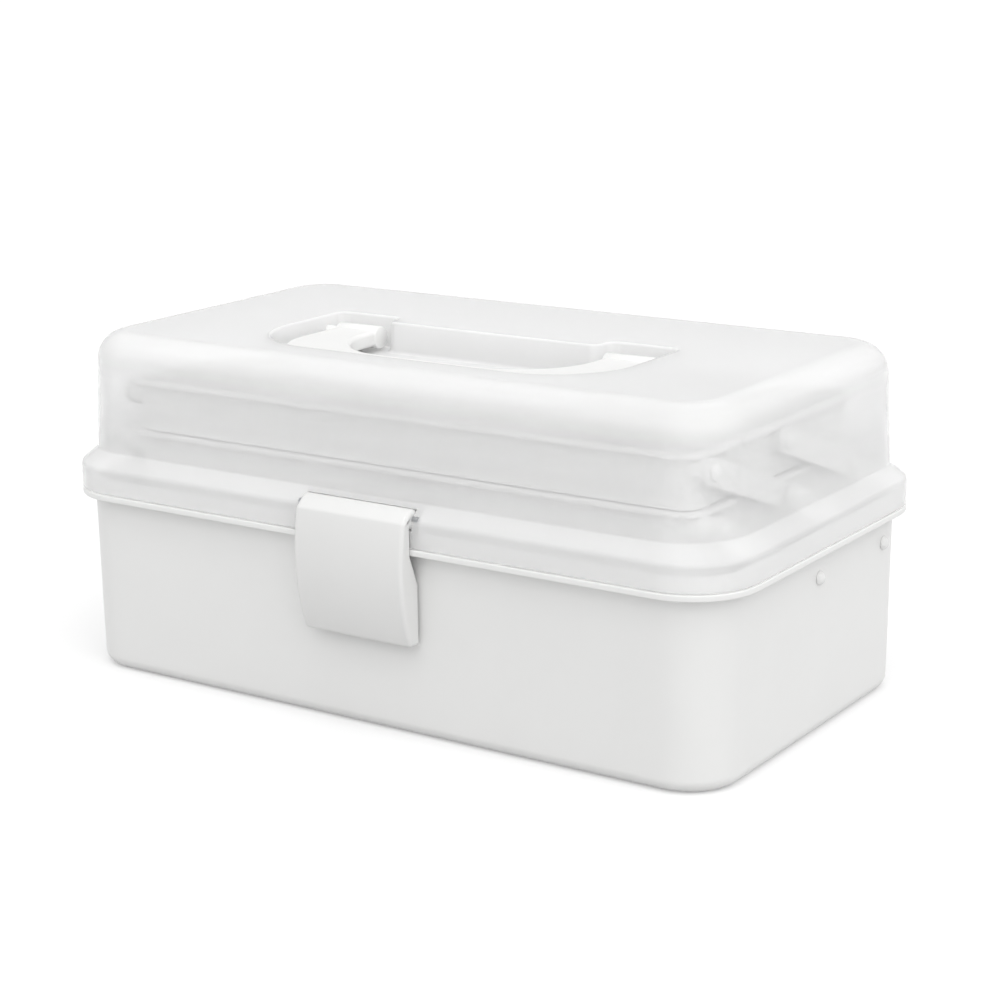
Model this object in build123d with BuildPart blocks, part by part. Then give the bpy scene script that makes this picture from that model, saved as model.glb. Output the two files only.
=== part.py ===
from build123d import *
import os
from math import acos, asin, atan, atan2, cos, degrees, hypot, radians, sin, sqrt, tan

# Three-tier storage box: a white tub with a clear hinged lid, a folding handle sunk in the lid, a
# front latch, and two cantilever trays that rise on parallel arms as the lid opens.
# Millimetres. The origin is the middle of the tub's underside, +X runs along the length,
# the latch faces -Y and +Z is up.

# Tub
RIM_LENGTH = 330.0
RIM_WIDTH = 185.0
RIM_CORNER_RADIUS = 29.0
RIM_OVERHANG = 5.6
RIM_THICKNESS = 2.8
RIM_EDGE_RADIUS = 0.8
TUB_DEPTH = 78.5
TUB_WALL = 2.2
TUB_FLOOR = 2.4
TUB_DRAFT = 0.6
FOOT_RADIUS = 6.0
LIP_HEIGHT = 5.1
LIP_CLEARANCE = 0.5

# Clear lid
LID_WALL = 2.0
LID_GAP = 0.3
SKIRT_HEIGHT = 11.0
SKIRT_EDGE_RADIUS = 4.0
SHOULDER_RISE = 6.4
SHOULDER_RUN = 5.95
LID_CORNER_RADIUS = 27.0
LID_WALL_LEAN = 2.2
LID_EDGE_RADIUS = 12.4

# Handle recess in the lid
RECESS_LENGTH = 174.0
RECESS_FRONT = 59.0
RECESS_BACK = 4.0
RECESS_LOBE = 11.5
RECESS_LOBE_SIDE = 54.0
RECESS_DEPTH = 13.6
RECESS_FRONT_RADIUS = 36.0
RECESS_BACK_RADIUS = 5.0
RECESS_DRAFT = 3.0
RECESS_EDGE_RADIUS = 1.2

# Handle
HANDLE_SIDE_GAP = 7.0
HANDLE_FRONT_GAP = 3.0
HANDLE_GRIP = 16.0
HANDLE_LEG = 22.0
HANDLE_THICKNESS = 7.0
HANDLE_CORNER_RADIUS = 32.0
HANDLE_INNER_RADIUS = 34.0
HANDLE_EDGE_RADIUS = 2.0
HANDLE_EYE_RADIUS = 5.0
HANDLE_FLOOR_GAP = 1.0
HANDLE_PIVOT_BACK = 5.0
TRUNNION_RADIUS = 3.0

# Latch
LATCH_WIDTH = 54.0
LATCH_SIDE_GAP = 0.6
LATCH_BULGE = 7.4
LATCH_BULGE_DROP = 5.0
LATCH_BROW_OVERHANG = 5.1
LATCH_BROW_DROP = 0.5
LATCH_BROW_RADIUS = 2.5
LATCH_DROP = 37.9
LATCH_TOE = 1.2
LATCH_SKIN = 2.6
LATCH_SIDE_RADIUS = 1.5
LATCH_RIM_GAP = 0.4
LATCH_SNAP_GAP = 0.12
LATCH_HOOK_THICKNESS = 1.8
LATCH_KNUCKLE_RADIUS = 4.0
LATCH_POCKET_GAP = 0.4
LATCH_PIN_RADIUS = 1.25

# Lid hinge
HINGE_SIDE = 85.0
HINGE_KNUCKLE_WIDTH = 16.0
HINGE_EAR_WIDTH = 8.0
HINGE_EAR_RADIUS = 4.0
HINGE_GAP = 0.5
HINGE_RISE = 0.7
HINGE_PIN_RADIUS = 1.5

# Trays
UPPER_TRAY_HEIGHT = 21.7
LOWER_TRAY_HEIGHT = 30.0
TRAY_WALL = 1.7
TRAY_FLOOR = 1.8
TRAY_DRAFT = 1.5
TRAY_RIM_OVERHANG = 3.0
TRAY_RIM_THICKNESS = 1.8
TRAY_CORNER_RADIUS = 12.0
TRAY_FOOT_RADIUS = 3.0
TRAY_FRONT_GAP = 13.7
TRAY_RISE = 27.2
TRAY_STACK_GAP = 0.8
TRAY_HEADROOM = 5.85
ARM_BAY = 15.2

# Arms and their pivot pins
ARM_WIDTH = 11.0
ARM_THICKNESS = 2.6
ARM_EDGE_RADIUS = 0.8
ARM_SIDE_GAP = 0.4
ARM_LAYER_GAP = 1.5
ARM_FACE_GAP = 0.3
PIVOT_FRONT_INSET = 9.0
PIVOT_BACK_INSET = 13.0
TRAY_PIVOT_DROP = 6.5
TUB_PIVOT_DROP = 11.5
TUB_PIVOT_MARGIN = 3.5
BOSS_RADIUS = 5.0
BOSS_END_WALL = 1.2
PIN_RADIUS = 1.8
PIN_HEAD_RADIUS = 3.5
TUB_PIN_HEAD_RADIUS = 2.9
PIN_HEAD_HEIGHT = 2.2
PIN_COLLAR_HEIGHT = 1.4

# Fits: radial room of a pin in the hole it turns in, and in the hole that holds it
RUNNING_CLEARANCE = 0.1
SEAT_CLEARANCE = 0.04

# Half the height of the band in which a level edge is picked
LEVEL_BAND = 0.01

os.makedirs("parts", exist_ok=True)
SIDES = {"left": -1, "right": 1}

# Tub levels and outlines
tub_length = RIM_LENGTH - 2 * RIM_OVERHANG
tub_width = RIM_WIDTH - 2 * RIM_OVERHANG
tub_radius = RIM_CORNER_RADIUS - RIM_OVERHANG
rim_top = TUB_DEPTH + RIM_THICKNESS
lip_top = rim_top + LIP_HEIGHT
cavity_length = tub_length - 2 * TUB_WALL
cavity_width = tub_width - 2 * TUB_WALL
cavity_radius = tub_radius - TUB_WALL

# Tray levels and outlines
tray_length = cavity_length - 2 * ARM_BAY
tray_width = cavity_width - 2 * TRAY_FRONT_GAP
tray_body_length = tray_length - 2 * TRAY_RIM_OVERHANG
tray_body_width = tray_width - 2 * TRAY_RIM_OVERHANG
tray_body_radius = TRAY_CORNER_RADIUS - TRAY_RIM_OVERHANG
lower_tray_top = TUB_DEPTH + TRAY_RISE
upper_tray_top = lower_tray_top + TRAY_STACK_GAP + UPPER_TRAY_HEIGHT

# Lid levels
skirt_bottom = rim_top + LID_GAP
skirt_top = skirt_bottom + SKIRT_HEIGHT
shoulder_top = skirt_top + SHOULDER_RISE
recess_floor = upper_tray_top + TRAY_HEADROOM + LID_WALL
lid_top = recess_floor + RECESS_DEPTH
lid_wall_width = RIM_WIDTH - 2 * SHOULDER_RUN

# Pivots of the cantilever arms, as (y, z)
arm_pitch = (tray_width - PIVOT_FRONT_INSET - PIVOT_BACK_INSET) / 2
front_pivot_y = -tray_width / 2 + PIVOT_FRONT_INSET
tub_back_pivot_y = tub_width / 2 - tub_radius - TUB_PIVOT_MARGIN
tub_pivots = [(tub_back_pivot_y - arm_pitch, TUB_DEPTH - TUB_PIVOT_DROP),
              (tub_back_pivot_y, TUB_DEPTH - TUB_PIVOT_DROP)]
lower_pivots = [(front_pivot_y + step * arm_pitch, lower_tray_top - TRAY_PIVOT_DROP) for step in range(3)]
upper_pivots = [(front_pivot_y + step * arm_pitch, upper_tray_top - TRAY_PIVOT_DROP) for step in range(2)]

# Planes of the two arm layers, measured from the middle of the box to each arm's inner face
inner_arm_face = tray_length / 2 + ARM_SIDE_GAP
outer_arm_face = inner_arm_face + ARM_THICKNESS + ARM_LAYER_GAP
pivot_wall = tub_length / 2 - TUB_PIVOT_DROP * tan(radians(TUB_DRAFT))

# Lid hinge axis, latch axis and handle axis, as (y, z)
hinge_axis = (RIM_WIDTH / 2 + HINGE_EAR_RADIUS + HINGE_GAP, rim_top + HINGE_RISE)
hinge_outer = HINGE_KNUCKLE_WIDTH / 2 + HINGE_GAP + HINGE_EAR_WIDTH
pocket_back = -lid_wall_width / 2
pocket_floor = lip_top + LIP_CLEARANCE + LID_WALL
pocket_half = LATCH_WIDTH / 2 + LATCH_SIDE_GAP
latch_axis = (pocket_back - LATCH_POCKET_GAP - LATCH_KNUCKLE_RADIUS,
              pocket_floor + LATCH_POCKET_GAP + LATCH_KNUCKLE_RADIUS)
handle_axis = (HANDLE_PIVOT_BACK, recess_floor + HANDLE_FLOOR_GAP + HANDLE_EYE_RADIUS)


def along_x(y, z, side=1):
    """A plane through the X-wise line at (y, z), with its own x running outwards on that side."""
    return Plane(origin=(0, y, z), x_dir=(side, 0, 0), z_dir=(0, 1, 0))


def lid_form(inset):
    """The closed form of the lid's outside, or of its inside when moved in by the wall."""
    drop = inset * tan(atan(SHOULDER_RUN / SHOULDER_RISE) / 2) if inset else 0.0
    shoulder_inset = SHOULDER_RUN + inset
    roof_inset = shoulder_inset + LID_WALL_LEAN
    roof = lid_top - inset
    with BuildPart() as form:
        with BuildSketch(Plane.XY.offset(skirt_bottom)):
            RectangleRounded(RIM_LENGTH - 2 * inset, RIM_WIDTH - 2 * inset, RIM_CORNER_RADIUS - inset)
        extrude(amount=SKIRT_HEIGHT - drop)
        with BuildSketch(Plane.XY.offset(skirt_top - drop)):
            RectangleRounded(RIM_LENGTH - 2 * inset, RIM_WIDTH - 2 * inset, RIM_CORNER_RADIUS - inset)
        with BuildSketch(Plane.XY.offset(shoulder_top - drop)):
            RectangleRounded(RIM_LENGTH - 2 * shoulder_inset, RIM_WIDTH - 2 * shoulder_inset,
                             LID_CORNER_RADIUS - inset)
        loft(ruled=True)
        knee = skirt_top - drop
        fillet(form.edges().filter_by_position(Axis.Z, knee - LEVEL_BAND, knee + LEVEL_BAND),
               SKIRT_EDGE_RADIUS - inset)
        with BuildSketch(Plane.XY.offset(shoulder_top - drop)):
            RectangleRounded(RIM_LENGTH - 2 * shoulder_inset, RIM_WIDTH - 2 * shoulder_inset,
                             LID_CORNER_RADIUS - inset)
        with BuildSketch(Plane.XY.offset(roof)):
            RectangleRounded(RIM_LENGTH - 2 * roof_inset, RIM_WIDTH - 2 * roof_inset,
                             LID_CORNER_RADIUS - LID_WALL_LEAN - inset)
        loft(ruled=True)
        fillet(form.faces().sort_by(Axis.Z)[-1].edges(), LID_EDGE_RADIUS - inset)
    return form.part


def recess_form(grow):
    """The handle recess with its two rear lobes, or the wall around it when grown by the wall."""
    depth_y = RECESS_FRONT + RECESS_BACK + RECESS_LOBE
    with BuildPart() as form:
        with BuildSketch(Plane.XY.offset(lid_top)) as mouth:
            with Locations((0, depth_y / 2 - RECESS_FRONT)):
                Rectangle(RECESS_LENGTH, depth_y)
            with Locations((0, RECESS_BACK + RECESS_LOBE / 2)):
                Rectangle(2 * RECESS_LOBE_SIDE, RECESS_LOBE, mode=Mode.SUBTRACT)
            front_corners = mouth.vertices().group_by(Axis.Y)[0]
            back_corners = mouth.vertices() - front_corners
            fillet(front_corners, RECESS_FRONT_RADIUS)
            fillet(back_corners, RECESS_BACK_RADIUS)
            if grow:
                offset(amount=grow)
        extrude(amount=-(RECESS_DEPTH + grow), taper=RECESS_DRAFT)
    return form.part


def tray(top, height, pivots):
    """One tray of the given height with its rim and the bosses that carry the arms.

    pivots holds (y, z, face) for each boss, where face is how far out the boss reaches.
    """
    rim_bottom = top - TRAY_RIM_THICKNESS
    body_height = height - TRAY_RIM_THICKNESS
    with BuildPart() as form:
        with BuildSketch(Plane.XY.offset(rim_bottom)):
            RectangleRounded(tray_body_length, tray_body_width, tray_body_radius)
        extrude(amount=-body_height, taper=TRAY_DRAFT)
        fillet(form.faces().sort_by(Axis.Z)[0].edges(), TRAY_FOOT_RADIUS)
        with BuildSketch(Plane.XY.offset(rim_bottom)):
            RectangleRounded(tray_length, tray_width, TRAY_CORNER_RADIUS)
        extrude(amount=TRAY_RIM_THICKNESS)
        for side in SIDES.values():
            for y, z, face in pivots:
                with BuildSketch(Plane.YZ.offset(side * face)):
                    with Locations((y, z)):
                        Circle(BOSS_RADIUS)
                extrude(amount=-side * (face - tray_body_length / 2 + tray_body_radius))
        with BuildSketch(Plane.XY.offset(top)):
            RectangleRounded(tray_body_length - 2 * TRAY_WALL, tray_body_width - 2 * TRAY_WALL,
                             tray_body_radius - TRAY_WALL)
        extrude(amount=-(height - TRAY_FLOOR), taper=TRAY_DRAFT, mode=Mode.SUBTRACT)
        floor = top - height + TRAY_FLOOR
        fillet(form.edges().filter_by_position(Axis.Z, floor - LEVEL_BAND, floor + LEVEL_BAND),
               TRAY_FOOT_RADIUS - TRAY_WALL)
        for side in SIDES.values():
            for y, z, face in pivots:
                with BuildSketch(Plane.YZ.offset(side * face)):
                    with Locations((y, z)):
                        Circle(PIN_RADIUS + SEAT_CLEARANCE)
                extrude(amount=-side * pin_seat_depth(face), mode=Mode.SUBTRACT)
    return form.part


def pin_seat_depth(face):
    """How deep a tray pin goes into a boss that ends at face."""
    return face - tray_body_length / 2 + TRAY_WALL - BOSS_END_WALL


def swing_arm(side, foot, head, face):
    """A flat round-ended arm from the foot pivot to the head pivot, with its inner face at face."""
    run = head[0] - foot[0]
    rise = head[1] - foot[1]
    with BuildPart() as arm:
        with BuildSketch(Plane.YZ.offset(side * face)):
            with Locations(((foot[0] + head[0]) / 2, (foot[1] + head[1]) / 2)):
                SlotCenterToCenter(hypot(run, rise), ARM_WIDTH, rotation=degrees(atan2(rise, run)))
            with Locations(foot, head):
                Circle(PIN_RADIUS + RUNNING_CLEARANCE, mode=Mode.SUBTRACT)
        extrude(amount=side * ARM_THICKNESS)
        outer_face = arm.faces().sort_by(Axis((0, 0, 0), (side, 0, 0)))[-1]
        fillet(outer_face.outer_wire().edges(), ARM_EDGE_RADIUS)
    return arm.part


def pivot_pin(side, pivot, head_radius, head_face, tip, collar=0.0):
    """A dome-headed pin that bears on head_face and ends at tip, with a collar there if asked for."""
    with BuildPart() as pin:
        with BuildSketch(along_x(pivot[0], pivot[1], side)):
            with BuildLine():
                outline = Polyline((head_face + PIN_HEAD_HEIGHT, 0), (tip, 0), (tip, PIN_RADIUS),
                                   (head_face, PIN_RADIUS), (head_face, head_radius))
                ThreePointArc(outline @ 1, dome_middle(head_radius, head_face), outline @ 0)
            make_face()
            if collar:
                with Locations((tip + collar / 2, PIN_HEAD_RADIUS / 2)):
                    Rectangle(collar, PIN_HEAD_RADIUS)
        revolve(axis=Axis((0, pivot[0], pivot[1]), (1, 0, 0)))
    return pin.part


def dome_middle(head_radius, head_face):
    """The point of the dome's arc halfway between its rim and its crown."""
    radius = (head_radius ** 2 + PIN_HEAD_HEIGHT ** 2) / (2 * PIN_HEAD_HEIGHT)
    centre = head_face + PIN_HEAD_HEIGHT - radius
    half_turn = asin(head_radius / radius) / 2
    return centre + radius * cos(half_turn), radius * sin(half_turn)


# White tub with its rim ledge, inner lip, hinge ears and the bosses of the lower arms
with BuildPart() as base_tub:
    with BuildSketch(Plane.XY.offset(TUB_DEPTH)):
        RectangleRounded(tub_length, tub_width, tub_radius)
    extrude(amount=-TUB_DEPTH, taper=TUB_DRAFT)
    fillet(base_tub.faces().sort_by(Axis.Z)[0].edges(), FOOT_RADIUS)
    with BuildSketch(Plane.XY.offset(TUB_DEPTH)):
        RectangleRounded(RIM_LENGTH, RIM_WIDTH, RIM_CORNER_RADIUS)
    extrude(amount=RIM_THICKNESS)
    fillet(base_tub.faces().sort_by(Axis.Z)[-1].edges(), RIM_EDGE_RADIUS)
    with BuildSketch(Plane.XY.offset(rim_top)):
        RectangleRounded(tub_length, tub_width, tub_radius)
    extrude(amount=LIP_HEIGHT)
    with BuildSketch(Plane.XY.offset(lip_top)):
        RectangleRounded(cavity_length, cavity_width, cavity_radius)
    extrude(amount=-(lip_top - TUB_FLOOR), taper=TUB_DRAFT, mode=Mode.SUBTRACT)
    fillet(base_tub.edges().filter_by_position(Axis.Z, TUB_FLOOR - LEVEL_BAND, TUB_FLOOR + LEVEL_BAND),
           FOOT_RADIUS - TUB_WALL)
    for side in SIDES.values():
        boss_face = outer_arm_face + ARM_THICKNESS + ARM_FACE_GAP
        with BuildSketch(Plane.YZ.offset(side * boss_face)):
            with Locations(*tub_pivots):
                Circle(BOSS_RADIUS)
        extrude(amount=side * (pivot_wall - TUB_WALL / 2 - boss_face))
        with BuildSketch(Plane.YZ.offset(side * outer_arm_face)):
            with Locations(*tub_pivots):
                Circle(PIN_RADIUS + SEAT_CLEARANCE)
        extrude(amount=side * (RIM_LENGTH / 2 - outer_arm_face), mode=Mode.SUBTRACT)
        for end in (-1, 1):
            ear_middle = side * HINGE_SIDE + end * (hinge_outer - HINGE_EAR_WIDTH / 2)
            with BuildSketch(Plane.YZ.offset(ear_middle)):
                with Locations(hinge_axis):
                    Circle(HINGE_EAR_RADIUS)
                with Locations((hinge_axis[0], rim_top)):
                    Rectangle(HINGE_EAR_RADIUS + HINGE_GAP + RIM_OVERHANG / 2, RIM_THICKNESS,
                              align=(Align.MAX, Align.MAX))
                with Locations(hinge_axis):
                    Circle(HINGE_PIN_RADIUS + SEAT_CLEARANCE, mode=Mode.SUBTRACT)
            extrude(amount=HINGE_EAR_WIDTH / 2, both=True)
base_tub.part.label = "base_tub"
export_step(base_tub.part, "parts/base_tub.step")

# Clear handle well, welded into the lid's roof: a pan with a rounded mouth and the handle's bearings
recess_wall = recess_form(LID_WALL)
with BuildPart() as recess_plug:
    add(recess_form(0))
    with BuildSketch(Plane.XY.offset(lid_top)):
        Rectangle(RIM_LENGTH, RIM_WIDTH)
    extrude(amount=LID_WALL)
    mouth_level = recess_plug.faces().filter_by(Axis.Z).sort_by(Axis.Z)[1]
    fillet(mouth_level.inner_wires()[0].edges(), RECESS_EDGE_RADIUS)
with BuildPart() as handle_well:
    add(recess_wall)
    add(recess_plug.part, mode=Mode.SUBTRACT)
    with BuildSketch(Plane.YZ):
        with Locations(handle_axis):
            Circle(TRUNNION_RADIUS + RUNNING_CLEARANCE)
    extrude(amount=RECESS_LENGTH / 2 + 2 * LID_WALL, both=True, mode=Mode.SUBTRACT)
handle_well.part.label = "handle_well"
export_step(handle_well.part, "parts/handle_well.step")

# Clear lid: a shell with a window for the handle well, a pocket for the latch and two knuckles
outside = lid_form(0)
with BuildPart() as latch_housing:
    housing_bottom = pocket_floor - LID_WALL
    with BuildSketch(Plane.XY.offset(housing_bottom)):
        with Locations((0, -RIM_WIDTH / 2)):
            Rectangle(2 * (pocket_half + LID_WALL), RIM_WIDTH / 2 + pocket_back + LID_WALL,
                      align=(Align.CENTER, Align.MIN))
    extrude(amount=shoulder_top + LID_WALL - housing_bottom)
    add(outside, mode=Mode.INTERSECT)
with BuildPart() as lid_shell:
    add(outside)
    add(lid_form(LID_WALL), mode=Mode.SUBTRACT)
    add(recess_wall, mode=Mode.SUBTRACT)
    add(latch_housing.part)
    with BuildSketch(Plane.XY.offset(pocket_floor)):
        with Locations((0, pocket_back)):
            Rectangle(2 * pocket_half, RIM_WIDTH / 2 + pocket_back + LATCH_BULGE,
                      align=(Align.CENTER, Align.MAX))
    extrude(amount=shoulder_top - pocket_floor, mode=Mode.SUBTRACT)
    with BuildSketch(Plane.YZ):
        with Locations(latch_axis):
            Circle(LATCH_PIN_RADIUS + SEAT_CLEARANCE)
    extrude(amount=pocket_half + LID_WALL, both=True, mode=Mode.SUBTRACT)
    for side in SIDES.values():
        with BuildSketch(Plane.YZ.offset(side * HINGE_SIDE)):
            with Locations(hinge_axis):
                Circle(HINGE_EAR_RADIUS)
            with Locations((hinge_axis[0], skirt_bottom)):
                Rectangle(HINGE_EAR_RADIUS + HINGE_GAP + LID_WALL / 2, HINGE_EAR_RADIUS,
                          align=(Align.MAX, Align.MIN))
            with Locations(hinge_axis):
                Circle(HINGE_PIN_RADIUS + RUNNING_CLEARANCE, mode=Mode.SUBTRACT)
        extrude(amount=HINGE_KNUCKLE_WIDTH / 2, both=True)
lid_shell.part.label = "lid_shell"
export_step(lid_shell.part, "parts/lid_shell.step")

# Hinge pins, held in the tub's ears
for name, side in SIDES.items():
    with BuildPart() as hinge_pin:
        with BuildSketch(Plane.YZ.offset(side * HINGE_SIDE)):
            with Locations(hinge_axis):
                Circle(HINGE_PIN_RADIUS)
        extrude(amount=hinge_outer, both=True)
        chamfer(hinge_pin.faces().filter_by(Axis.X).edges(), HINGE_PIN_RADIUS / 4)
    hinge_pin.part.label = f"hinge_pin_{name}"
    export_step(hinge_pin.part, f"parts/hinge_pin_{name}.step")

# Folding handle: a flat U with round eyes and a trunnion at each end of its legs
handle_half = RECESS_LENGTH / 2 - HANDLE_SIDE_GAP
handle_front = -RECESS_FRONT + HANDLE_FRONT_GAP
with BuildPart() as carry_handle:
    with BuildSketch(Plane.XY.offset(handle_axis[1])) as bow:
        with Locations((0, handle_front)):
            Rectangle(2 * handle_half, handle_axis[0] - handle_front, align=(Align.CENTER, Align.MIN))
        fillet(bow.vertices().group_by(Axis.Y)[0], HANDLE_CORNER_RADIUS)
        with BuildSketch(mode=Mode.PRIVATE) as finger_gap:
            with Locations((0, handle_front + HANDLE_GRIP)):
                Rectangle(2 * (handle_half - HANDLE_LEG), RECESS_LENGTH, align=(Align.CENTER, Align.MIN))
            fillet(finger_gap.vertices().group_by(Axis.Y)[0], HANDLE_INNER_RADIUS)
        add(finger_gap.sketch, mode=Mode.SUBTRACT)
    extrude(amount=HANDLE_THICKNESS / 2, both=True)
    fillet(carry_handle.faces().filter_by(Axis.Z).edges(), HANDLE_EDGE_RADIUS)
    for side in SIDES.values():
        with BuildSketch(Plane.YZ.offset(side * handle_half)):
            with Locations(handle_axis):
                Circle(HANDLE_EYE_RADIUS)
        extrude(amount=-side * HANDLE_LEG)
        with BuildSketch(Plane.YZ.offset(side * handle_half)):
            with Locations(handle_axis):
                Circle(TRUNNION_RADIUS)
        extrude(amount=side * (HANDLE_SIDE_GAP + LID_WALL / 2))
carry_handle.part.label = "carry_handle"
export_step(carry_handle.part, "parts/carry_handle.step")

# Front latch: a bowed hollow cover that turns on a pin in the lid and hooks under the tub's rim
rim_front = -RIM_WIDTH / 2
latch_brow = (rim_front - LATCH_BROW_OVERHANG, latch_axis[1] - LATCH_BROW_DROP)
brow_reach = (latch_brow[0] - latch_axis[0], latch_brow[1] - latch_axis[1])
brow_turn = atan2(*reversed(brow_reach)) - acos(LATCH_KNUCKLE_RADIUS / hypot(*brow_reach))
brow_start = (latch_axis[0] + LATCH_KNUCKLE_RADIUS * cos(brow_turn),
              latch_axis[1] + LATCH_KNUCKLE_RADIUS * sin(brow_turn))
latch_foot_z = TUB_DEPTH - LATCH_DROP
latch_clear_y = rim_front - LATCH_RIM_GAP
hook_top = TUB_DEPTH - LATCH_RIM_GAP
hollow_top = latch_axis[1] - LATCH_KNUCKLE_RADIUS - LATCH_SKIN
hollow_half = LATCH_WIDTH / 2 - LATCH_SKIN
lift_radius = hypot(hinge_axis[0] - rim_front, hinge_axis[1] - TUB_DEPTH) + LATCH_SNAP_GAP


def latch_edge(z):
    """The point at height z of the latch's inner edge, which clears the rim as the lid lifts it."""
    return hinge_axis[0] - sqrt(lift_radius ** 2 - (hinge_axis[1] - z) ** 2), z


def latch_bow(inset):
    """The three points of the latch's bowed front, or of the hollow behind its skin."""
    return [(latch_brow[0] + inset, latch_brow[1]),
            (rim_front - LATCH_BULGE + inset, TUB_DEPTH - LATCH_BULGE_DROP),
            (rim_front - LATCH_TOE + inset, latch_foot_z)]


with BuildPart() as front_latch:
    with BuildSketch(Plane.YZ) as cover:
        with BuildLine():
            bow = ThreePointArc(*latch_bow(0))
            foot = Line(bow @ 1, latch_edge(latch_foot_z))
            edge = ThreePointArc(foot @ 1, latch_edge((latch_foot_z + hook_top) / 2), latch_edge(hook_top))
            Polyline(edge @ 1, (latch_clear_y, hook_top), (latch_clear_y, latch_axis[1]), latch_axis,
                     brow_start, bow @ 0)
            cover_corner = bow @ 0
        make_face()
        fillet(cover.vertices().sort_by_distance(cover_corner)[0], LATCH_BROW_RADIUS)
    extrude(amount=LATCH_WIDTH / 2, both=True)
    front_face = front_latch.faces().sort_by(Axis.Y)[0]
    fillet(front_face.edges().filter_by(GeomType.CIRCLE), LATCH_SIDE_RADIUS)
    with BuildSketch(Plane.YZ):
        with Locations(latch_axis):
            Circle(LATCH_KNUCKLE_RADIUS)
    extrude(amount=LATCH_WIDTH / 2, both=True)
    with BuildSketch(Plane.YZ):
        with BuildLine():
            hollow = ThreePointArc(*latch_bow(LATCH_SKIN))
            Polyline(hollow @ 1, (0, latch_foot_z), (0, latch_brow[1]), hollow @ 0)
        make_face()
        with Locations((rim_front, hollow_top)):
            Rectangle(RIM_WIDTH, LATCH_DROP, align=(Align.CENTER, Align.MIN), mode=Mode.SUBTRACT)
    extrude(amount=hollow_half, both=True, mode=Mode.SUBTRACT)
    with BuildSketch(Plane.XY.offset(hook_top)):
        with Locations((0, latch_edge(hook_top)[0])):
            Rectangle(2 * hollow_half + LATCH_SKIN, LATCH_BULGE - LATCH_SKIN / 2,
                      align=(Align.CENTER, Align.MAX))
    extrude(amount=-LATCH_HOOK_THICKNESS)
    with BuildSketch(Plane.YZ):
        with Locations(latch_axis):
            Circle(LATCH_PIN_RADIUS + RUNNING_CLEARANCE)
    extrude(amount=LATCH_WIDTH, both=True, mode=Mode.SUBTRACT)
front_latch.part.label = "front_latch"
export_step(front_latch.part, "parts/front_latch.step")

# Latch pin, held in the side walls of the lid's pocket
with BuildPart() as latch_pin:
    with BuildSketch(Plane.YZ):
        with Locations(latch_axis):
            Circle(LATCH_PIN_RADIUS)
    extrude(amount=pocket_half + LID_WALL, both=True)
latch_pin.part.label = "latch_pin"
export_step(latch_pin.part, "parts/latch_pin.step")

# Trays. A boss reaches to the layer of the innermost arm that turns on it
inner_boss = inner_arm_face - ARM_FACE_GAP
outer_boss = outer_arm_face - ARM_FACE_GAP
lower_bosses = [(*lower_pivots[0], outer_boss), (*lower_pivots[1], inner_boss), (*lower_pivots[2], inner_boss)]
upper_bosses = [(*pivot, inner_boss) for pivot in upper_pivots]
trays = {"lower": (lower_tray_top, LOWER_TRAY_HEIGHT, lower_bosses),
         "upper": (upper_tray_top, UPPER_TRAY_HEIGHT, upper_bosses)}
for name, (top, height, bosses) in trays.items():
    tray_part = tray(top, height, bosses)
    tray_part.label = f"{name}_tray"
    export_step(tray_part, f"parts/{name}_tray.step")

# Eight swing arms: the lower pairs join tub and lower tray, the upper pairs join the two trays
arms = {"lower_front": (tub_pivots[0], lower_pivots[0], outer_arm_face),
        "lower_rear": (tub_pivots[1], lower_pivots[1], outer_arm_face),
        "upper_front": (lower_pivots[1], upper_pivots[0], inner_arm_face),
        "upper_rear": (lower_pivots[2], upper_pivots[1], inner_arm_face)}
for place, (foot, head, face) in arms.items():
    for name, side in SIDES.items():
        arm_part = swing_arm(side, foot, head, face)
        arm_part.label = f"{place}_arm_{name}"
        export_step(arm_part, f"parts/{place}_arm_{name}.step")

# Pivot pins, one group for each end of the tub and of each tray
inner_head = inner_arm_face + ARM_THICKNESS + ARM_FACE_GAP
outer_head = outer_arm_face + ARM_THICKNESS + ARM_FACE_GAP
lower_heads = [outer_head, outer_head, inner_head]
for name, side in SIDES.items():
    tub_pins = [pivot_pin(side, pivot, TUB_PIN_HEAD_RADIUS, pivot_wall + ARM_FACE_GAP / 2,
                          outer_arm_face - ARM_FACE_GAP - PIN_COLLAR_HEIGHT, PIN_COLLAR_HEIGHT)
                for pivot in tub_pivots]
    lower_pins = [pivot_pin(side, (y, z), PIN_HEAD_RADIUS, head, face - pin_seat_depth(face))
                  for (y, z, face), head in zip(lower_bosses, lower_heads)]
    upper_pins = [pivot_pin(side, (y, z), PIN_HEAD_RADIUS, inner_head, face - pin_seat_depth(face))
                  for y, z, face in upper_bosses]
    for group, pins in (("base", tub_pins), ("lower_tray", lower_pins), ("upper_tray", upper_pins)):
        pin_group = Compound(label=f"{group}_pins_{name}", children=pins)
        export_step(pin_group, f"parts/{group}_pins_{name}.step")
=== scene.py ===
"""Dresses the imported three-tier storage box: moulded skins, finishes, a white studio and the camera."""

import logging
from abc import ABC, abstractmethod
from dataclasses import dataclass
from enum import Enum
from math import acos, atan2, ceil, cos, pi, radians, sin, sqrt, tan
from typing import Any, Callable, Iterable, Sequence

import bmesh
import bpy
from mathutils import Matrix, Vector


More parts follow.
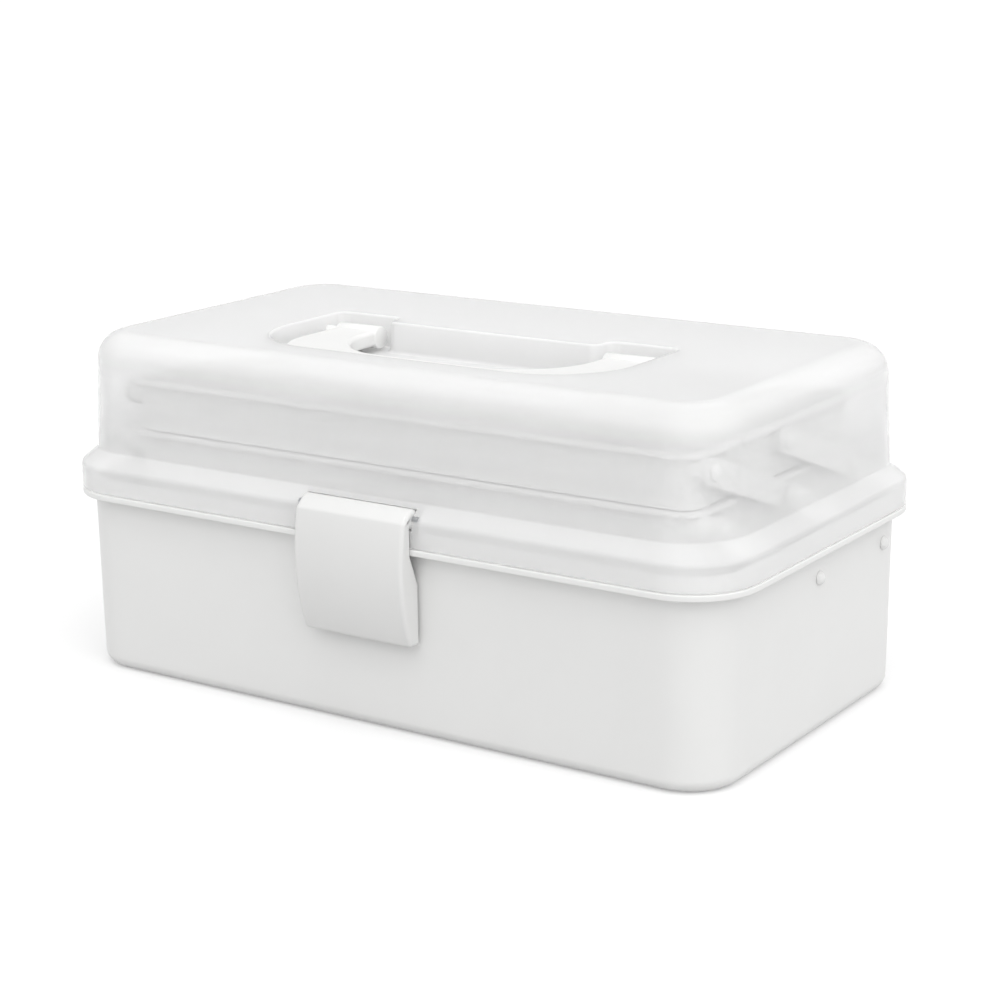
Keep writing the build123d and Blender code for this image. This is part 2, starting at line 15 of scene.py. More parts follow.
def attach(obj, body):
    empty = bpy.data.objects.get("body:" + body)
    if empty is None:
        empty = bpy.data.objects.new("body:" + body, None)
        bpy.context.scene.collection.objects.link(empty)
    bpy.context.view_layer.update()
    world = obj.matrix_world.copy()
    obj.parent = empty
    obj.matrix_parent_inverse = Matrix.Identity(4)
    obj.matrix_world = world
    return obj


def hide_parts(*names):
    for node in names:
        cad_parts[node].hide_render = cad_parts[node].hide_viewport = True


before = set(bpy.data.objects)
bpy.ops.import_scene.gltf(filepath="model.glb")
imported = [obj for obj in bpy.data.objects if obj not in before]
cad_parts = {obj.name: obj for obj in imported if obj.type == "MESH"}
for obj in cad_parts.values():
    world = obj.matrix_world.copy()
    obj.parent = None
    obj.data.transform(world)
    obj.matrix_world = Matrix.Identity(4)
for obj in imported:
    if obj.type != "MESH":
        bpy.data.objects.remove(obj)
log = logging.getLogger("storage_box")

MM = 0.001
PLASTIC_IOR = 1.49
UP, DOWN = (0, 0, 1), (0, 0, -1)

# Clearances on the radius in millimetres, of a pin that sits still and of one that turns
SEAT_CLEARANCE = 0.04
RUNNING_CLEARANCE = 0.1
# Faces closer than this many millimetres count as touching
TOUCH = 0.01

# The largest turn between two points of a round, from plan outlines to small edges
PLAN_TURN = radians(6)
ROOF_TURN = radians(7)
CROWN_TURN = radians(8)
WALL_TURN = radians(9)
TOE_TURN = radians(12)
EDGE_TURN = radians(15)
LIP_TURN = radians(18)

# Steps of a hinge eye's round, and sides of a bored hole
EYE_STEPS = 28
HOLE_SIDES = 24
# Where a plate's flat face starts, in edge radii from its outline
FLAT_START = 1.15
# The soft edge at the end of a round boss: its size, and the step half way round it
SOFT_EDGE = 0.6
SOFT_STEP = 0.2
# The angle in degrees past which an edge is shaded sharp
SHARP = 38.0

# A Mix node's numbers of its two colour inputs and of its colour output
MIX_FROM, MIX_TO, MIX_OUT = 6, 7, 2

# A point of a flat outline, a point of a piece, and a corner of a path with its radius
Flat = tuple[float, float]
Point = tuple[float, float, float]
Corner = tuple[float, float, float]
Place = Callable[[float, float, float], Point]


class Side(Enum):
    """The two ends of the box, as the sign of X."""

    LEFT = -1
    RIGHT = 1


class Pair(Enum):
    """The four pairs of swing arms, by the words that their names start with."""

    LOWER_FRONT = "lower_front"
    LOWER_REAR = "lower_rear"
    UPPER_FRONT = "upper_front"
    UPPER_REAR = "upper_rear"


class Tier(Enum):
    """The two cantilever trays, by body."""

    LOWER = "lower_tray"
    UPPER = "upper_tray"


def flat_place(u: float, v: float, w: float) -> Point:
    """Lays an outline out on the XY plane, with its thickness along Z."""
    return u, v, w


def upright_place(u: float, v: float, w: float) -> Point:
    """Stands an outline on the YZ plane, with its thickness along X."""
    return w, u, v


def linear(code: str) -> tuple[float, float, float, float]:
    """Turns an sRGB hex colour into linear values.

    Args:
        code: The colour as #RRGGBB.

    Returns:
        Red, green, blue and an alpha of 1.
    """
    parts = [int(code[at:at + 2], 16) / 255 for at in (1, 3, 5)]
    red, green, blue = (p / 12.92 if p <= 0.04045 else ((p + 0.055) / 1.055) ** 2.4 for p in parts)
    return red, green, blue, 1.0


def add_node(tree: bpy.types.NodeTree, kind: str, values: dict[Any, Any] | None = None,
             links: dict[Any, bpy.types.NodeSocket] | None = None, **settings: Any) -> bpy.types.Node:
    """Adds one node with its settings, its plain values and its links.

    Args:
        tree: The tree that gets the node.
        kind: Blender's type name of the node.
        values: Plain values by input name or number.
        links: Sockets that feed inputs, by input name or number.
        **settings: The node's own properties.

    Returns:
        The new node.
    """
    node = tree.nodes.new(kind)
    for name, value in settings.items():
        setattr(node, name, value)
    for socket, value in (values or {}).items():
        node.inputs[socket].default_value = value
    for socket, source in (links or {}).items():
        tree.links.new(source, node.inputs[socket])
    return node


def blank_material(name: str) -> tuple[bpy.types.Material, bpy.types.NodeTree]:
    """Makes a material with an empty tree.

    Args:
        name: The material's name.

    Returns:
        The material and its node tree.
    """
    material = bpy.data.materials.new(name)
    material.use_nodes = True
    material.node_tree.nodes.clear()
    return material, material.node_tree


@dataclass(frozen=True)
class MouldedWhite:
    """White plastic straight from a spark-eroded mould: soft satin gloss and a faint flow of tone.

    The mould's grain is drawn at 0.9 mm, coarser than life, to show.
    """

    name: str
    colour: str
    shade: str
    roughness: float
    roughness_spread: float
    grain_depth_mm: float
    flow_mm: float = 38.0
    grain_mm: float = 0.9
    wave_mm: float = 14.0
    wave_depth_mm: float = 0.02

    def material(self) -> bpy.types.Material:
        """Builds the finish.

        Returns:
            The new material.
        """
        material, tree = blank_material(self.name)
        spot = add_node(tree, "ShaderNodeTexCoord").outputs["Object"]
        flow, wave, grain = (
            add_node(tree, "ShaderNodeTexNoise", {"Scale": 1 / (size * MM), "Detail": detail},
                     {"Vector": spot}).outputs["Fac"]
            for size, detail in ((self.flow_mm, 3.0), (self.wave_mm, 1.0), (self.grain_mm, 2.0)))
        tone = add_node(tree, "ShaderNodeMix", {MIX_FROM: linear(self.shade), MIX_TO: linear(self.colour)},
                        {0: flow}, data_type="RGBA")
        gloss = add_node(tree, "ShaderNodeMapRange",
                         {"To Min": self.roughness - self.roughness_spread,
                          "To Max": self.roughness + self.roughness_spread}, {"Value": flow})
        sink = add_node(tree, "ShaderNodeBump", {"Strength": 1.0, "Distance": self.wave_depth_mm * MM},
                        {"Height": wave})
        skin = add_node(tree, "ShaderNodeBump", {"Strength": 1.0, "Distance": self.grain_depth_mm * MM},
                        {"Height": grain, "Normal": sink.outputs["Normal"]})
        body = add_node(tree, "ShaderNodeBsdfPrincipled", {"IOR": PLASTIC_IOR},
                        {"Base Color": tone.outputs[MIX_OUT], "Roughness": gloss.outputs["Result"],
                         "Normal": skin.outputs["Normal"]})
        add_node(tree, "ShaderNodeOutputMaterial", links={"Surface": body.outputs["BSDF"]})
        return material


@dataclass(frozen=True)
class ClearMoulding:
    """Clear polypropylene copolymer, moulded: see-through with a milky veil and soft reflections.

    The skirt and the roof are moulded thicker than the walls and look milkier. The bending is set weaker
    than the plastic's own, as a thin wall shows; the coat keeps the plastic's reflection. Lamps pass
    straight through, as they do through a thin wall.
    """

    name: str
    colour: str
    wall_clearness: float
    skirt_clearness: float
    roof_clearness: float
    roughness: float
    roughness_spread: float
    bending: float
    bloom: float
    shadow_pass: str
    bloom_roughness: float = 0.5
    coat: float = 0.5
    coat_roughness: float = 0.05
    wave_mm: float = 22.0
    wave_depth_mm: float = 0.006
    skirt_mm: Flat = (95.0, 118.0)
    roof_mm: Flat = (131.5, 143.0)

    def material(self) -> bpy.types.Material:
        """Builds the finish.

        Returns:
            The new material.
        """
        material, tree = blank_material(self.name)
        spot = add_node(tree, "ShaderNodeTexCoord").outputs["Object"]
        wave = add_node(tree, "ShaderNodeTexNoise", {"Scale": 1 / (self.wave_mm * MM), "Detail": 2.0},
                        {"Vector": spot}).outputs["Fac"]
        gloss = add_node(tree, "ShaderNodeMapRange",
                         {"To Min": self.roughness - self.roughness_spread,
                          "To Max": self.roughness + self.roughness_spread}, {"Value": wave})
        skin = add_node(tree, "ShaderNodeBump", {"Strength": 1.0, "Distance": self.wave_depth_mm * MM},
                        {"Height": wave})
        values = {"Base Color": linear(self.colour), "IOR": self.bending, "Coat IOR": PLASTIC_IOR,
                  "Coat Weight": self.coat, "Coat Roughness": self.coat_roughness,
                  "Sheen Weight": self.bloom, "Sheen Roughness": self.bloom_roughness}
        links = {"Roughness": gloss.outputs["Result"], "Normal": skin.outputs["Normal"]}
        if self.wall_clearness == self.skirt_clearness == self.roof_clearness:
            values["Transmission Weight"] = self.wall_clearness
        else:
            links["Transmission Weight"] = self.graded(tree, spot)
        body = add_node(tree, "ShaderNodeBsdfPrincipled", values, links)
        passing = add_node(tree, "ShaderNodeBsdfTransparent", {"Color": linear(self.shadow_pass)})
        ray = add_node(tree, "ShaderNodeLightPath")
        wall = add_node(tree, "ShaderNodeMixShader",
                        links={0: ray.outputs["Is Shadow Ray"], 1: body.outputs["BSDF"],
                               2: passing.outputs["BSDF"]})
        add_node(tree, "ShaderNodeOutputMaterial", links={"Surface": wall.outputs["Shader"]})
        return material

    def graded(self, tree: bpy.types.NodeTree, spot: bpy.types.NodeSocket) -> bpy.types.NodeSocket:
        """Grades the clearness by height: milky at the skirt and the roof, clear at the walls.

        Args:
            tree: The finish's node tree.
            spot: The socket that gives the place on the lid.

        Returns:
            The socket that gives the clearness.
        """
        height = add_node(tree, "ShaderNodeSeparateXYZ", links={0: spot}).outputs["Z"]
        (low, above), (under, high) = self.skirt_mm, self.roof_mm
        rising = add_node(tree, "ShaderNodeMapRange",
                          {"From Min": low * MM, "From Max": above * MM,
                           "To Min": self.skirt_clearness, "To Max": self.wall_clearness},
                          {"Value": height}, interpolation_type="SMOOTHSTEP")
        falling = add_node(tree, "ShaderNodeMapRange",
                           {"From Min": under * MM, "From Max": high * MM,
                            "To Min": self.wall_clearness, "To Max": self.roof_clearness},
                           {"Value": height}, interpolation_type="SMOOTHSTEP")
        return add_node(tree, "ShaderNodeMath",
                        links={0: rising.outputs["Result"], 1: falling.outputs["Result"]},
                        operation="MINIMUM").outputs[0]


@dataclass(frozen=True)
class DrawnSteel:
    """Bright drawn steel wire: fine lines along the draw and a soft grey shine.

    The draw lines run along X and are drawn wider than life, to show.
    """

    name: str
    colour: str
    shade: str
    roughness: float
    roughness_spread: float
    line_mm: float = 0.5
    line_depth_mm: float = 0.01
    squeeze_along: float = 0.03

    def material(self) -> bpy.types.Material:
        """Builds the finish.

        Returns:
            The new material.
        """
        material, tree = blank_material(self.name)
        spot = add_node(tree, "ShaderNodeTexCoord").outputs["Object"]
        along = add_node(tree, "ShaderNodeMapping", {"Scale": (self.squeeze_along, 1.0, 1.0)},
                         {"Vector": spot})
        lines = add_node(tree, "ShaderNodeTexNoise", {"Scale": 1 / (self.line_mm * MM), "Detail": 2.0},
                         {"Vector": along.outputs["Vector"]}).outputs["Fac"]
        tone = add_node(tree, "ShaderNodeMix", {MIX_FROM: linear(self.shade), MIX_TO: linear(self.colour)},
                        {0: lines}, data_type="RGBA")
        gloss = add_node(tree, "ShaderNodeMapRange",
                         {"To Min": self.roughness - self.roughness_spread,
                          "To Max": self.roughness + self.roughness_spread}, {"Value": lines})
        skin = add_node(tree, "ShaderNodeBump", {"Strength": 1.0, "Distance": self.line_depth_mm * MM},
                        {"Height": lines})
        body = add_node(tree, "ShaderNodeBsdfPrincipled", {"Metallic": 1.0},
                        {"Base Color": tone.outputs[MIX_OUT], "Roughness": gloss.outputs["Result"],
                         "Normal": skin.outputs["Normal"]})
        add_node(tree, "ShaderNodeOutputMaterial", links={"Surface": body.outputs["BSDF"]})
        return material


def rounded(corners: Sequence[Corner], closed: bool = False, step: float = WALL_TURN) -> list[Flat]:
    """Rounds the corners of a flat path.

    Args:
        corners: Each corner as (u, v, radius); a radius of 0 leaves it sharp.
        closed: Whether the path closes on itself.
        step: The largest turn between two points of a round.

    Returns:
        The points of the rounded path.
    """
    points: list[Flat] = []
    for at, (u, v, radius) in enumerate(corners):
        if radius == 0 or (not closed and at in (0, len(corners) - 1)):
            points.append((u, v))
            continue
        here = Vector((u, v))
        back = (Vector(corners[at - 1][:2]) - here).normalized()
        ahead = (Vector(corners[(at + 1) % len(corners)][:2]) - here).normalized()
        turn = pi - back.angle(ahead)
        centre = here + (back + ahead).normalized() * radius / cos(turn / 2)
        start = here + back * radius * tan(turn / 2) - centre
        sign = 1 if (-back).cross(ahead) > 0 else -1
        first = atan2(start.y, start.x)
        count = max(2, ceil(turn / step))
        for tick in range(count + 1):
            angle = first + sign * turn * tick / count
            points.append((centre.x + radius * cos(angle), centre.y + radius * sin(angle)))
    return points


def grown(outline: Sequence[Flat], amount: float) -> list[Flat]:
    """Moves each point of a closed outline, which runs counter-clockwise, out along its normal.

    Args:
        outline: The points of the outline.
        amount: How far to move out; negative moves in.

    Returns:
        The moved points.
    """
    moved: list[Flat] = []
    for at, here in enumerate(outline):
        before, after = outline[at - 1], outline[(at + 1) % len(outline)]
        arrive = Vector((here[1] - before[1], before[0] - here[0])).normalized()
        leave = Vector((after[1] - here[1], here[0] - after[0])).normalized()
        shift = (arrive + leave) * amount / (1 + arrive.dot(leave))
        moved.append((here[0] + shift.x, here[1] + shift.y))
    return moved


def rounded_rectangle(length: float, width: float, radius: float, arc: int = 10,
                      runs: tuple[int, int] = (14, 8)) -> list[Flat]:
    """A rounded rectangle with the same number of points whatever its size, counter-clockwise.

    Args:
        length: Size along X.
        width: Size along Y.
        radius: Corner radius.
        arc: Steps of each corner.
        runs: Steps of the long and of the short sides.

    Returns:
        The outline's points.
    """
    points: list[Flat] = []
    middles = [(1, 1), (-1, 1), (-1, -1), (1, -1)]
    for corner, (sx, sy) in enumerate(middles):
        cx, cy = sx * (length / 2 - radius), sy * (width / 2 - radius)
        start = corner * pi / 2
        turns = [start + pi / 2 * tick / arc for tick in range(arc + 1)]
        points += [(cx + radius * cos(turn), cy + radius * sin(turn)) for turn in turns]
        nx, ny = middles[(corner + 1) % 4]
        ahead = (nx * (length / 2 - radius) + radius * cos(start + pi / 2),
                 ny * (width / 2 - radius) + radius * sin(start + pi / 2))
        here = points[-1]
        count = runs[corner % 2]
        points += [(here[0] + (ahead[0] - here[0]) * tick / count,
                    here[1] + (ahead[1] - here[1]) * tick / count) for tick in range(1, count)]
    return points


def circle(centre: Flat, radius: float, count: int = 32) -> list[Flat]:
    """The points of a circle, counter-clockwise."""
    turns = [2 * pi * tick / count for tick in range(count)]
    return [(centre[0] + radius * cos(turn), centre[1] + radius * sin(turn)) for turn in turns]


def eye_outline(axis: Flat, radius: float, root: float, low: float, high: float) -> list[Flat]:
    """A hinge eye on the YZ plane: a round with a tab that runs back to its root.

    Args:
        axis: The eye's middle as (y, z).
        radius: The eye's radius.
        root: Where the tab ends.
        low: The tab's lower level.
        high: The tab's upper level.

    Returns:
        The outline's points, counter-clockwise.
    """
    first = -pi + acos(sqrt(radius ** 2 - (low - axis[1]) ** 2) / radius)
    last = pi - acos(sqrt(radius ** 2 - (high - axis[1]) ** 2) / radius) * (1 if high > axis[1] else -1)
    turns = [first + (last - first) * tick / EYE_STEPS for tick in range(EYE_STEPS + 1)]
    arc = [(axis[0] + radius * cos(turn), axis[1] + radius * sin(turn)) for turn in turns]
    return arc + [(root, high), (root, low)]


def soft_end(face: float, radius: float, inward: int) -> list[Flat]:
    """The soft edge at the end of a round boss.

    Args:
        face: Where the end's flat face is.
        radius: The boss's radius.
        inward: 1 where the boss runs on to larger x, and -1 where it runs on to smaller.

    Returns:
        Points as (x, radius), from the face on.
    """
    return [(face, radius - SOFT_EDGE), (face + inward * SOFT_STEP, radius - SOFT_STEP),
            (face + inward * SOFT_EDGE, radius)]


class Skin:
    """Collects the rings, faces and filled openings of one piece, in millimetres."""

    def __init__(self) -> None:
        """Starts an empty skin."""
        self.points: list[Point] = []
        self.faces: list[tuple[int, ...]] = []
        self.fills: list[tuple[list[list[int]], Point]] = []

    def ring(self, points: Iterable[Point]) -> list[int]:
        """Adds the points of a ring.

        Args:
            points: The points, in order.

        Returns:
            The points' numbers.
        """
        first = len(self.points)
        self.points += list(points)
        return list(range(first, len(self.points)))

    def level(self, outline: Sequence[Flat], z: float) -> list[int]:
        """Adds an outline as a level ring at a height and gives its points' numbers."""
        return self.ring((x, y, z) for x, y in outline)

    def strip(self, rings: Sequence[list[int]]) -> None:
        """Joins each ring to the next with quads.

        Args:
            rings: Closed rings of the same length, each as point numbers.
        """
        for lower, upper in zip(rings, rings[1:]):
            for at in range(len(lower)):
                after = (at + 1) % len(lower)
                self.faces.append((lower[at], lower[after], upper[after], upper[at]))

    def fill(self, loops: list[list[int]], normal: Point) -> None:
        """Asks for a flat face between loops, the first of which is the outer one."""
        self.fills.append((loops, normal))

    def vessel(self, rings: Sequence[list[int]]) -> None:
        """Joins the rings of a vessel, from its underside out and over to its floor, and fills both.

        Args:
            rings: The vessel's rings.
        """
        self.strip(rings)
        self.fill([rings[0]], DOWN)
        self.fill([rings[-1]], UP)

    def plate(self, outline: Sequence[Flat], low: float, high: float, edge: float, place: Place,
              holes: Sequence[Sequence[Flat]] = ()) -> None:
        """Adds a flat plate with rounded edges and plain holes.

        Args:
            outline: The outline, counter-clockwise.
            low: Where its thickness starts.
            high: Where its thickness ends.
            edge: The radius of its edges.
            place: Turns (u, v, thickness) into a point.
            holes: Outlines of holes, counter-clockwise.
        """
        flat = -FLAT_START * edge
        path = rounded([(flat, low, 0), (0, low, edge), (0, high, edge), (flat, high, 0)], step=EDGE_TURN)
        rings = [self.ring(place(u, v, w) for u, v in grown(outline, out)) for out, w in path]
        self.strip(rings)
        ends = [[rings[0]], [rings[-1]]]
        for hole in holes:
            lower = self.ring(place(u, v, low) for u, v in hole)
            upper = self.ring(place(u, v, high) for u, v in hole)
            self.strip([upper, lower])
            ends[0].append(lower)
            ends[1].append(upper)
        self.fill(ends[0], place(0, 0, -1))
        self.fill(ends[1], place(0, 0, 1))

    def turned(self, profile: Sequence[Flat], centre: Flat, sign: int = 1,
               seat: Callable[[float], float] | None = None) -> None:
        """Adds a closed round form about a line along X.

        Args:
            profile: Points as (x, radius) from one end of the axis to the other, with x falling.
            centre: The line's (y, z).
            sign: The side of the box, which mirrors x.
            seat: Where given, the x of the last ring's points by their y, for a foot on a curved wall.
        """
        rings = [self.ring((sign * x, y, z) for y, z in circle(centre, radius)) for x, radius in profile[:-1]]
        root, radius = profile[-1]
        rings.append(self.ring((sign * (seat(y) if seat else root), y, z) for y, z in circle(centre, radius)))
        if sign > 0:
            rings = rings[::-1]
        self.strip(rings)
        self.faces.append(tuple(rings[0][::-1]))
        self.faces.append(tuple(rings[-1]))

    def mesh(self, name: str) -> bpy.types.Mesh:
        """Turns the skin into a smooth-shaded mesh in metres.

        Args:
            name: The mesh's name.

        Returns:
            The new mesh.
        """
        form = bmesh.new()
        points = [form.verts.new((x * MM, y * MM, z * MM)) for x, y, z in self.points]
        for face in self.faces:
            form.faces.new([points[at] for at in face])
        for loops, normal in self.fills:
            edges = []
            for loop in loops:
                for at, here in enumerate(loop):
                    pair = points[here], points[loop[(at + 1) % len(loop)]]
                    edges.append(form.edges.get(pair) or form.edges.new(pair))
            made = bmesh.ops.triangle_fill(form, use_beauty=True, use_dissolve=False, edges=edges,
                                           normal=normal)
            for face in (item for item in made["geom"] if isinstance(item, bmesh.types.BMFace)):
                face.normal_update()
                if face.normal.dot(Vector(normal)) < 0:
                    face.normal_flip()
        mesh = bpy.data.meshes.new(name)
        form.to_mesh(mesh)
        form.free()
        smooth(mesh, SHARP)
        return mesh


def smooth(mesh: bpy.types.Mesh, sharp: float) -> None:
    """Shades a mesh smooth, apart from its sharp edges.

    Args:
        mesh: The mesh to shade.
        sharp: The angle in degrees past which an edge is shaded sharp.
    """
    mesh.polygons.foreach_set("use_smooth", [True] * len(mesh.polygons))
    mesh.set_sharp_from_angle(angle=radians(sharp))
    mesh.update()


def settled(work: bpy.types.Object, helpers: Sequence[bpy.types.Object], sharp: float) -> bpy.types.Mesh:
    """Gives the plain mesh that an object's modifiers make, and clears the objects away.

    Args:
        work: The object with the modifiers.
        helpers: Other objects that they use.
        sharp: The angle in degrees past which an edge is shaded sharp.

    Returns:
        The new mesh.
    """
    made = bpy.data.meshes.new_from_object(work.evaluated_get(bpy.context.evaluated_depsgraph_get()))
    for item in (*helpers, work):
        bpy.data.objects.remove(item)
    smooth(made, sharp)
    return made


def carved(mesh: bpy.types.Mesh, joined: Sequence[bpy.types.Mesh], cut: Sequence[bpy.types.Mesh],
           sharp: float = SHARP) -> bpy.types.Mesh:
    """Joins and cuts closed meshes.

    Args:
        mesh: The mesh to work on.
        joined: Meshes to add.
        cut: Meshes to take away.
        sharp: The angle in degrees past which an edge is shaded sharp.

    Returns:
        The new mesh.
    """
    scene = bpy.context.scene.collection
    work = bpy.data.objects.new("work", mesh)
    scene.objects.link(work)
    helpers = []
    for operation, group in (("UNION", joined), ("DIFFERENCE", cut)):
        for tool in group:
            helper = bpy.data.objects.new("tool", tool)
            scene.objects.link(helper)
            helpers.append(helper)
            step = work.modifiers.new("step", "BOOLEAN")
            step.operation = operation
            step.solver = "EXACT"
            step.object = helper
    return settled(work, helpers, sharp)


def start_tree(name: str, sizes: Sequence[str]) -> tuple[bpy.types.NodeTree, bpy.types.NodeOutputs]:
    """Starts a Geometry Nodes tree that takes a mesh, sizes and a finish.

    Args:
        name: The tree's name.
        sizes: The names of its sizes.

    Returns:
        The tree, and the sockets of what it is given.
    """
    tree = bpy.data.node_groups.new(name, "GeometryNodeTree")
    sockets = [("Geometry", "INPUT", "NodeSocketGeometry")]
    sockets += [(size, "INPUT", "NodeSocketFloat") for size in sizes]
    sockets += [("Finish", "INPUT", "NodeSocketMaterial"), ("Geometry", "OUTPUT", "NodeSocketGeometry")]
    for label, way, kind in sockets:
        tree.interface.new_socket(label, in_out=way, socket_type=kind)
    return tree, add_node(tree, "NodeGroupInput").outputs


def end_tree(tree: bpy.types.NodeTree, instances: bpy.types.NodeSocket, finish: bpy.types.NodeSocket) -> None:
    """Ends a Geometry Nodes tree: makes its instances real and gives them their finish.

    Args:
        tree: The tree.
        instances: The socket that gives the instances.
        finish: The socket that gives the material.
    """
    solid = add_node(tree, "GeometryNodeRealizeInstances", links={"Geometry": instances})
    dressed = add_node(tree, "GeometryNodeSetMaterial",
                       links={"Geometry": solid.outputs["Geometry"], "Material": finish})
    add_node(tree, "NodeGroupOutput", links={"Geometry": dressed.outputs["Geometry"]})


def run_tree(mesh: bpy.types.Mesh, tree: bpy.types.NodeTree, inputs: dict[str, Any],
             sharp: float = SHARP) -> bpy.types.Mesh:
    """Runs a Geometry Nodes tree on a mesh and gives the plain result.

    Args:
        mesh: The mesh that the tree starts from.
        tree: The tree.
        inputs: Values of the tree's inputs by name.
        sharp: The angle in degrees past which an edge is shaded sharp.

    Returns:
        The new mesh.
    """
    work = bpy.data.objects.new("work", mesh)
    bpy.context.scene.collection.objects.link(work)
    step = work.modifiers.new("tree", "NODES")
    step.node_group = tree
    for item in tree.interface.items_tree:
        if item.in_out == "INPUT" and item.name in inputs:
            step[item.identifier] = inputs[item.name]
    return settled(work, [], sharp)


def place_piece(name: str, mesh: bpy.types.Mesh, material: bpy.types.Material, body: str,
                nodes: Sequence[str]) -> bpy.types.Object:
    """Puts a finished mesh in the scene and ties it to its body.

    Args:
        name: The piece's name.
        mesh: Its mesh, already in place.
        material: Its finish.
        body: The body that it rides on.
        nodes: The CAD nodes that it stands for.

    Returns:
        The new object.
    """
    mesh.materials.clear()
    mesh.materials.append(material)
    piece = bpy.data.objects.new(name, mesh)
    bpy.context.scene.collection.objects.link(piece)
    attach(piece, body)
    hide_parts(*nodes)
    return piece


@dataclass
class Pivot:
    """A turning axis along X, by its (y, z) and the radius of its pin."""

    axis: Flat
    radius: float


@dataclass
class Rim:
    """The outline that tub and lid share at the rim, and the level of the rim's underside."""

    length: float = 330.0
    width: float = 185.0
    corner: float = 29.0
    underside: float = 78.5

    def ring(self, inset: float, radius: float | None = None) -> list[Flat]:
        """The rim's outline moved in, with a corner radius of its own if one is given."""
        corner = self.corner - inset if radius is None else radius
        return rounded_rectangle(self.length - 2 * inset, self.width - 2 * inset, corner, arc=14)


@dataclass
class Hinge:
    """The two back hinges: where they are and how large their eyes are."""

    axis: Flat = (97.0, 82.0)
    side: float = 85.0
    eye_radius: float = 4.0
    pin_radius: float = 1.5
    knuckle_width: float = 16.0
    ear_width: float = 8.0
    gap: float = 0.5
    edge: float = 0.4


@dataclass
class Linkage:
    """The pivots of the swing arms as (y, z), and the planes of their two layers."""

    tub: tuple[Flat, Flat] = ((0.0, 67.0), (60.0, 67.0))
    lower: tuple[Flat, Flat, Flat] = ((-62.0, 99.2), (-2.0, 99.2), (58.0, 99.2))
    upper: tuple[Flat, Flat] = ((-62.0, 121.7), (-2.0, 121.7))
    inner_face: float = 142.4
    outer_face: float = 146.5
    arm_thickness: float = 2.6
    arm_width: float = 11.0
    arm_edge: float = 0.8
    face_gap: float = 0.3
    boss_radius: float = 5.0
    pin_radius: float = 1.8

    def arm(self, pair: Pair) -> tuple[Flat, Flat, float]:
        """Says where one pair of arms is.

        Args:
            pair: The pair of arms.

        Returns:
            The foot pivot, the head pivot and the plane of the inner face.
        """
        arms = {Pair.LOWER_FRONT: (self.tub[0], self.lower[0], self.outer_face),
                Pair.LOWER_REAR: (self.tub[1], self.lower[1], self.outer_face),
                Pair.UPPER_FRONT: (self.lower[1], self.upper[0], self.inner_face),
                Pair.UPPER_REAR: (self.lower[2], self.upper[1], self.inner_face)}
        return arms[pair]


class SubAssembly(ABC):
    """A part of the box that builds its own pieces."""

    @abstractmethod
    def build(self) -> list[bpy.types.Object]:
        """Builds the pieces, ties each to its body and gives them back."""


@dataclass
class Tub(SubAssembly):
    """The white tub: drafted walls, rim ledge, inner lip, arm bosses and hinge ears."""

    rim: Rim
    hinge: Hinge
    linkage: Linkage
    material: bpy.types.Material
    overhang: float = 5.6
    rim_top: float = 81.3
    lip_top: float = 86.4
    wall: float = 2.2
    floor: float = 2.4
    draft: float = 0.6
    foot: float = 6.0
    flat_inset: float = 22.0
    ledge_radius: float = 0.6
    rim_radius: float = 0.8
    lip_root: float = 0.4
    lip_radius: float = 0.7
    boss_root: float = 1.2

    def build(self) -> list[bpy.types.Object]:
        """Builds the tub and ties it to the base.

        Returns:
            The tub.
        """
        skin = Skin()
        lean = tan(radians(self.draft))
        inside = self.overhang + self.wall
        under = self.rim.underside
        path = rounded([(self.flat_inset, 0, 0), (self.overhang + under * lean, 0, self.foot),
                        (self.overhang, under, self.ledge_radius), (0, under, self.ledge_radius),
                        (0, self.rim_top, self.rim_radius), (self.overhang, self.rim_top, self.lip_root),
                        (self.overhang, self.lip_top, self.lip_radius),
                        (inside, self.lip_top, self.lip_radius),
                        (inside + (self.lip_top - self.floor) * lean, self.floor, self.foot - self.wall),
                        (self.flat_inset, self.floor, 0)])
        skin.vessel([skin.level(self.rim.ring(inset), z) for inset, z in path])
        self.add_bosses(skin)
        self.add_ears(skin)
        return [place_piece("tub", skin.mesh("tub"), self.material, "base", ["base_tub"])]

    def add_bosses(self, skin: Skin) -> None:
        """Adds the bosses inside the end walls that carry the lower arms.

        Args:
            skin: The tub's skin.
        """
        link = self.linkage
        face = link.outer_face + link.arm_thickness + link.face_gap
        wall = self.rim.length / 2 - self.overhang - self.boss_root
        profile = [(wall, link.boss_radius)] + soft_end(face, link.boss_radius, 1)[::-1]
        for side in Side:
            for pivot in link.tub:
                skin.turned(profile, pivot, side.value)

    def add_ears(self, skin: Skin) -> None:
        """Adds the hinge ears behind the rim.

        Args:
            skin: The tub's skin.
        """
        hinge = self.hinge
        root = self.rim.width / 2 - self.overhang / 2
        outline = eye_outline(hinge.axis, hinge.eye_radius, root, self.rim.underside, self.rim_top)
        hole = circle(hinge.axis, hinge.pin_radius + SEAT_CLEARANCE, HOLE_SIDES)
        middle = hinge.knuckle_width / 2 + hinge.gap + hinge.ear_width / 2
        for side in Side:
            for end in (-1, 1):
                x = side.value * hinge.side + end * middle
                skin.plate(outline, x - hinge.ear_width / 2, x + hinge.ear_width / 2, hinge.edge,
                           upright_place, [hole])


